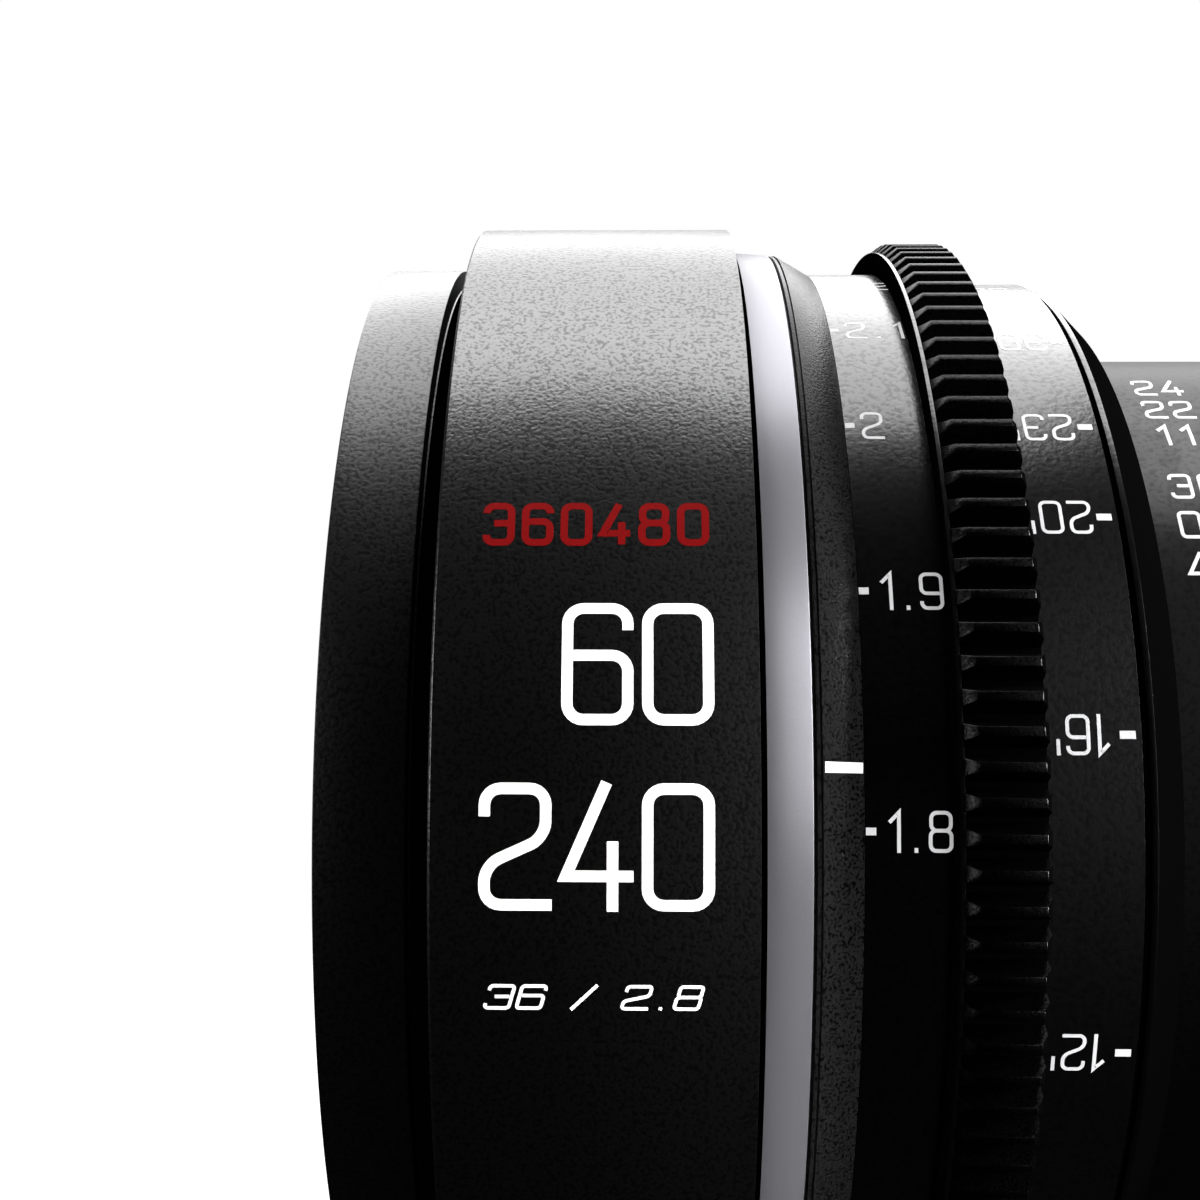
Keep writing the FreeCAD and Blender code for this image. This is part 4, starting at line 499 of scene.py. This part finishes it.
# Focus ring: one turned ring with the metre scale in front, a gear band in the middle and the
# feet scale behind. The teeth are cut up to a collar and their ends are turned to a chamfer.
focus_low, focus_high = (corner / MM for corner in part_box("focus_ring"))
focus_front, focus_rear = focus_low.x, focus_high.x
MODULE, FOCUS_TEETH = 0.8, 137
TOOTH_SLOPE = tan(radians(20))


def gear_teeth(mesh, front, rear, teeth, ease_front, ease_rear, drop):
    """Straight-sided teeth round the axis, whose ends slope down by drop over each ease. Gives
    back the radius of the gaps between them."""
    pitch_r = MODULE * teeth / 2
    tip_r, gap_r = pitch_r + MODULE, pitch_r - 1.25 * MODULE
    foot_r = gap_r - 0.3
    half_tip = MODULE * (pi / 4 - TOOTH_SLOPE)
    half_foot = half_tip + (tip_r - foot_r) * TOOTH_SLOPE
    made = bmesh.ops.create_cube(mesh, size=1.0)["verts"]
    bmesh.ops.scale(mesh, verts=made, vec=(rear - front, 2 * half_foot, tip_r - foot_r))
    bmesh.ops.translate(mesh, verts=made, vec=((front + rear) / 2, 0, (tip_r + foot_r) / 2))
    top = [v for v in made if v.co.z > (tip_r + foot_r) / 2]
    bmesh.ops.scale(mesh, verts=top, vec=(1, half_tip / half_foot, 1))
    for x, ease, side in ((front, ease_front, -1), (rear, ease_rear, 1)):
        cut = bmesh.ops.bisect_plane(mesh, geom=mesh.verts[:] + mesh.edges[:] + mesh.faces[:],
                                     plane_co=(x, 0, tip_r - drop),
                                     plane_no=(side * drop, 0, ease), clear_outer=True)
        rim_edges = [e for e in cut["geom_cut"] if isinstance(e, bmesh.types.BMEdge)]
        bmesh.ops.contextual_create(mesh, geom=rim_edges)
    shoulders = [e for e in mesh.edges if min(v.co.z for v in e.verts) > foot_r + 0.5]
    bmesh.ops.bevel(mesh, geom=shoulders, offset=0.045, offset_type="OFFSET", segments=1,
                    profile=0.5, affect="EDGES", material=-1)
    bmesh.ops.recalc_face_normals(mesh, faces=mesh.faces)
    bmesh.ops.rotate(mesh, verts=mesh.verts, cent=(0, 0, 0),
                     matrix=Matrix.Rotation(radians(90), 3, "X"))
    bmesh.ops.scale(mesh, verts=mesh.verts, vec=(MM, MM, MM))
    bmesh.ops.spin(mesh, geom=mesh.verts[:] + mesh.edges[:] + mesh.faces[:], cent=(0, 0, 0),
                   axis=(1, 0, 0), angle=2 * pi * (teeth - 1) / teeth, steps=teeth - 1,
                   use_duplicate=True)
    return gap_r


ring_black = black_anodised("ring_black", 0.055, 0.039, 0.235, 0.45, 0.3)
tooth_black = black_anodised("tooth_black", 0.015, 0.005, 0.33, 0.2, 0.5, edge=0.55)
metre_r, feet_r, focus_bore = 52.65, 51.7, 49.42
foot_x, collar_x, collar_r = focus_front + 6.42, focus_front + 6.52, 54.8
gear_front, gear_rear = focus_front + 6.85, focus_front + 13.0
focus_teeth = bmesh.new()
root_r = gear_teeth(focus_teeth, gear_front, gear_rear, FOCUS_TEETH, 0.97, 0.52, 0.8)
fillet_r = 0.08
fillet = [(foot_x + fillet_r * sin(radians(a)), metre_r + fillet_r * (1 - cos(radians(a))))
          for a in (0, 18, 36, 54, 72, 90)]
focus_body = lathe([(focus_front, focus_bore), (focus_front, metre_r)] + fillet
                   + [(collar_x, collar_r), (gear_front, collar_r), (gear_front, root_r),
                      (gear_rear, root_r), (gear_rear, feet_r), (focus_rear, feet_r),
                      (focus_rear, focus_bore)], 0.03)
focus_band = finish_piece(focus_body, "focus_band", ring_black, "focus_ring",
                          ["focus_ring"])
# Painted shade: the fillet and slope up to the collar, the floor under the teeth and the wall
# behind them are painted flat black.
darken(focus_band, lambda face: (foot_x - 0.01) * MM < face.center.x < (collar_x + 0.01) * MM
       or (gear_front + 0.01) * MM < face.center.x < (gear_rear + 0.01) * MM)
gear = finish_piece(focus_teeth, "focus_teeth", tooth_black, "focus_ring")
# Painted shade: the tooth faces that look towards the rear are painted flat black.
darken(gear, lambda face: face.normal.x > 0.5)

# Distance scales: the ring shows metres against the near mark and feet against the mark on the
# far side. The metres follow one curve of distance, and the feet stand where it brings them,
# apart from small shifts of those that face the camera.
SCALE_END, SCALE_SPREAD, SCALE_NEAR = 264.13, 342.36, 0.5278


def scale_angle(metres):
    """Where a distance in metres stands on the ring, in degrees from the white mark at rest."""
    return SCALE_END - SCALE_SPREAD / (metres - SCALE_NEAR)


scale_enamel = enamel("scale_enamel", (0.46, 0.46, 0.47), 0.6)
figure_high, figure_wide, figure_gap, figure_stroke, figure_round = 3.03, 1.78, 0.44, 0.27, 0.42
metre_marks = [(d, scale_angle(d)) for d in
               (1.8, 1.9, 2, 2.1, 2.2, 2.4, 2.7, 3, 3.5, 4, 5, 6, 8, 10, 15, 30)]
feet_marks = [(6, -177.4), (7, -127.4), (8, -93.5), (9, -68.8), (10, -49.5), (12, -23.63),
              (16, 2.83), (20, 22.22), (23, 32.45), (30, 46.0), (50, 62.5), (100, 74.3)]
metre_half = figure_high / 2 / metre_r * 180 / pi
feet_half = figure_high / 2 / feet_r * 180 / pi
lettering("metre_numbers", [
    ("%g" % d, focus_front + 1.32, a - metre_half, figure_wide, figure_high, figure_gap, 1)
    for d, a in metre_marks
], metre_r, figure_stroke, figure_round, scale_enamel, "focus_ring")
lettering("feet_numbers", [
    ("%g'" % d, focus_rear - 1.96, a + feet_half, figure_wide, figure_high, figure_gap, -1)
    for d, a in feet_marks
], feet_r, figure_stroke, figure_round, scale_enamel, "focus_ring")
TICK_DEPTH, TICK_PROUD = 0.2, 0.012
ticks = bmesh.new()
for _, angle in metre_marks:
    wrapped_bar(ticks, focus_front + 0.06, angle, metre_r, 0.75, 0.55, TICK_DEPTH, TICK_PROUD)
for _, angle in feet_marks:
    wrapped_bar(ticks, focus_rear - 1.6, angle, feet_r, 1.17, 0.6, TICK_DEPTH, TICK_PROUD)
finish_piece(ticks, "scale_ticks", scale_enamel, "focus_ring")

# Rear index ring: a fixed step behind the focus ring that runs down to the main barrel as a
# short cone. All but its narrow land is painted flat black as painted shade, which gives the thin
# dark line by the turning ring and a black cone.
step_low, step_high = (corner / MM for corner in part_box("rear_index_ring"))
step_x, land, land_r, step_bore = step_low.x + 0.6, 0.46, 51.2, 47.02
step_ring = lathe([
    (step_low.x, step_bore), (step_low.x, 50.45), (step_x, 50.45), (step_x, land_r),
    (step_x + land, land_r), (step_high.x, 48.45), (step_high.x, step_bore),
], 0.04)
step_band = finish_piece(step_ring, "rear_index_band", ring_black, "barrel",
                         ["rear_index_ring"])
# Painted shade: every face but the land, the front wall and the cone among them, is painted flat
# black.
darken(step_band, lambda face: not step_x * MM < face.center.x < (step_x + land) * MM)

# Barrel numbers: small white rows, wound a little way round the front of the main barrel.
barrel_rows = [(45.1, "24 36"), (40.6, "22 16"), (36.1, "11 8"), (28.5, "360 240"),
               (23.6, "036 912"), (18.7, "4 - 8")]
rows_x, main_barrel_r = -194.7, 46.9
lettering("barrel_numbers", [(text, rows_x, a, 1.9, 2.7, 0.5, 1) for a, text in barrel_rows],
          main_barrel_r, 0.3, 0.34, scale_enamel, "barrel")

# Zoom and iris scales: plain numbers and ticks on the two rings, each beside its geared band,
# and a white mark on the fixed ring. A turn of the ring brings each number to its mark.
zoom_edge, zoom_r, zoom_mark_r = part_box("zoom_ring")[1].x / MM, 45.2, 45.5
iris_edge, iris_r, iris_mark_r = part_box("iris_ring")[0].x / MM, 41.2, 44.1
zoom_marks = [(60, -50.0), (80, -25.1), (100, -5.8), (135, 20.2), (180, 45.1), (240, 70.0)]
iris_marks = [(2.8, 0), (4, 12), (5.6, 24), (8, 36), (11, 48), (16, 60), (22, 72)]
lettering("zoom_numbers", [
    ("%d" % f, zoom_edge - 2.2 - written_width(str(f), 1.9, 0.5), a - 1.75, 1.9, 2.8, 0.5, 1)
    for f, a in zoom_marks
], zoom_r, 0.32, 0.42, white_enamel, "zoom_ring")
lettering("iris_numbers", [("%g" % f, iris_edge + 2.2, a - 1.8, 1.8, 2.6, 0.5, 1)
                           for f, a in iris_marks],
          iris_r, 0.32, 0.38, white_enamel, "iris_ring")
zoom_ticks, iris_ticks, fixed_marks = bmesh.new(), bmesh.new(), bmesh.new()
for _, angle in zoom_marks:
    wrapped_bar(zoom_ticks, zoom_edge - 1.5, angle, zoom_r, 1.2, 0.5, TICK_DEPTH, TICK_PROUD)
for _, angle in iris_marks:
    wrapped_bar(iris_ticks, iris_edge + 0.3, angle, iris_r, 1.2, 0.5, TICK_DEPTH, TICK_PROUD)
for mark_x, radius in ((zoom_edge + 0.8, zoom_mark_r), (iris_edge - 4.2, iris_mark_r)):
    wrapped_bar(fixed_marks, mark_x, 0.0, radius, 3.2, 0.8, TICK_DEPTH, TICK_PROUD)
finish_piece(zoom_ticks, "zoom_ticks", white_enamel, "zoom_ring")
finish_piece(iris_ticks, "iris_ticks", white_enamel, "iris_ring")
finish_piece(fixed_marks, "fixed_marks", white_enamel, "barrel")


# Plain pieces: what the camera hardly sees keeps the machined shape it has and takes the
# finish of its kind. Glass is clear with a faint coating, and steel and brass are bare.
def metal(name, colour, rough):
    """Bare metal of one colour."""
    material = bpy.data.materials.new(name)
    material.use_nodes = True
    skin = material.node_tree.nodes["Principled BSDF"]
    skin.inputs["Base Color"].default_value = (*colour, 1.0)
    skin.inputs["Metallic"].default_value = 1.0
    skin.inputs["Roughness"].default_value = rough
    return material


barrel_black = black_anodised("barrel_black", 0.045, 0.034, 0.36, 0.45, 0.2, edge=0.5)
glass = bpy.data.materials.new("coated_glass")
glass.use_nodes = True
glass_skin = glass.node_tree.nodes["Principled BSDF"]
glass_skin.inputs["Base Color"].default_value = (0.93, 0.96, 0.98, 1.0)
glass_skin.inputs["Transmission Weight"].default_value = 1.0
glass_skin.inputs["Roughness"].default_value = 0.0
glass_skin.inputs["IOR"].default_value = 1.52
finish_of = {
    "satin_black": barrel_black,
    "bead_blasted_silver": silver,
    "inner_black": enamel("inner_black", (0.004, 0.004, 0.004), 0.6),
    "bare_aluminium": metal("bare_aluminium", (0.34, 0.34, 0.35), 0.45),
    "bearing_brass": metal("bearing_brass", (0.72, 0.55, 0.28), 0.3),
    "steel": metal("steel", (0.55, 0.55, 0.56), 0.3),
    "blade_steel": metal("blade_steel", (0.06, 0.06, 0.065), 0.4),
    "plated_brass": metal("plated_brass", (0.42, 0.42, 0.43), 0.38),
    "coated_glass": glass,
}
for part in frame["record"]["subparts"]:
    node = frame["nodes"][part["node"]]
    node.data.materials.clear()
    node.data.materials.append(finish_of[part["material_slot"]])
    node.data.shade_smooth()
    node.data.set_sharp_from_angle(angle=radians(30))
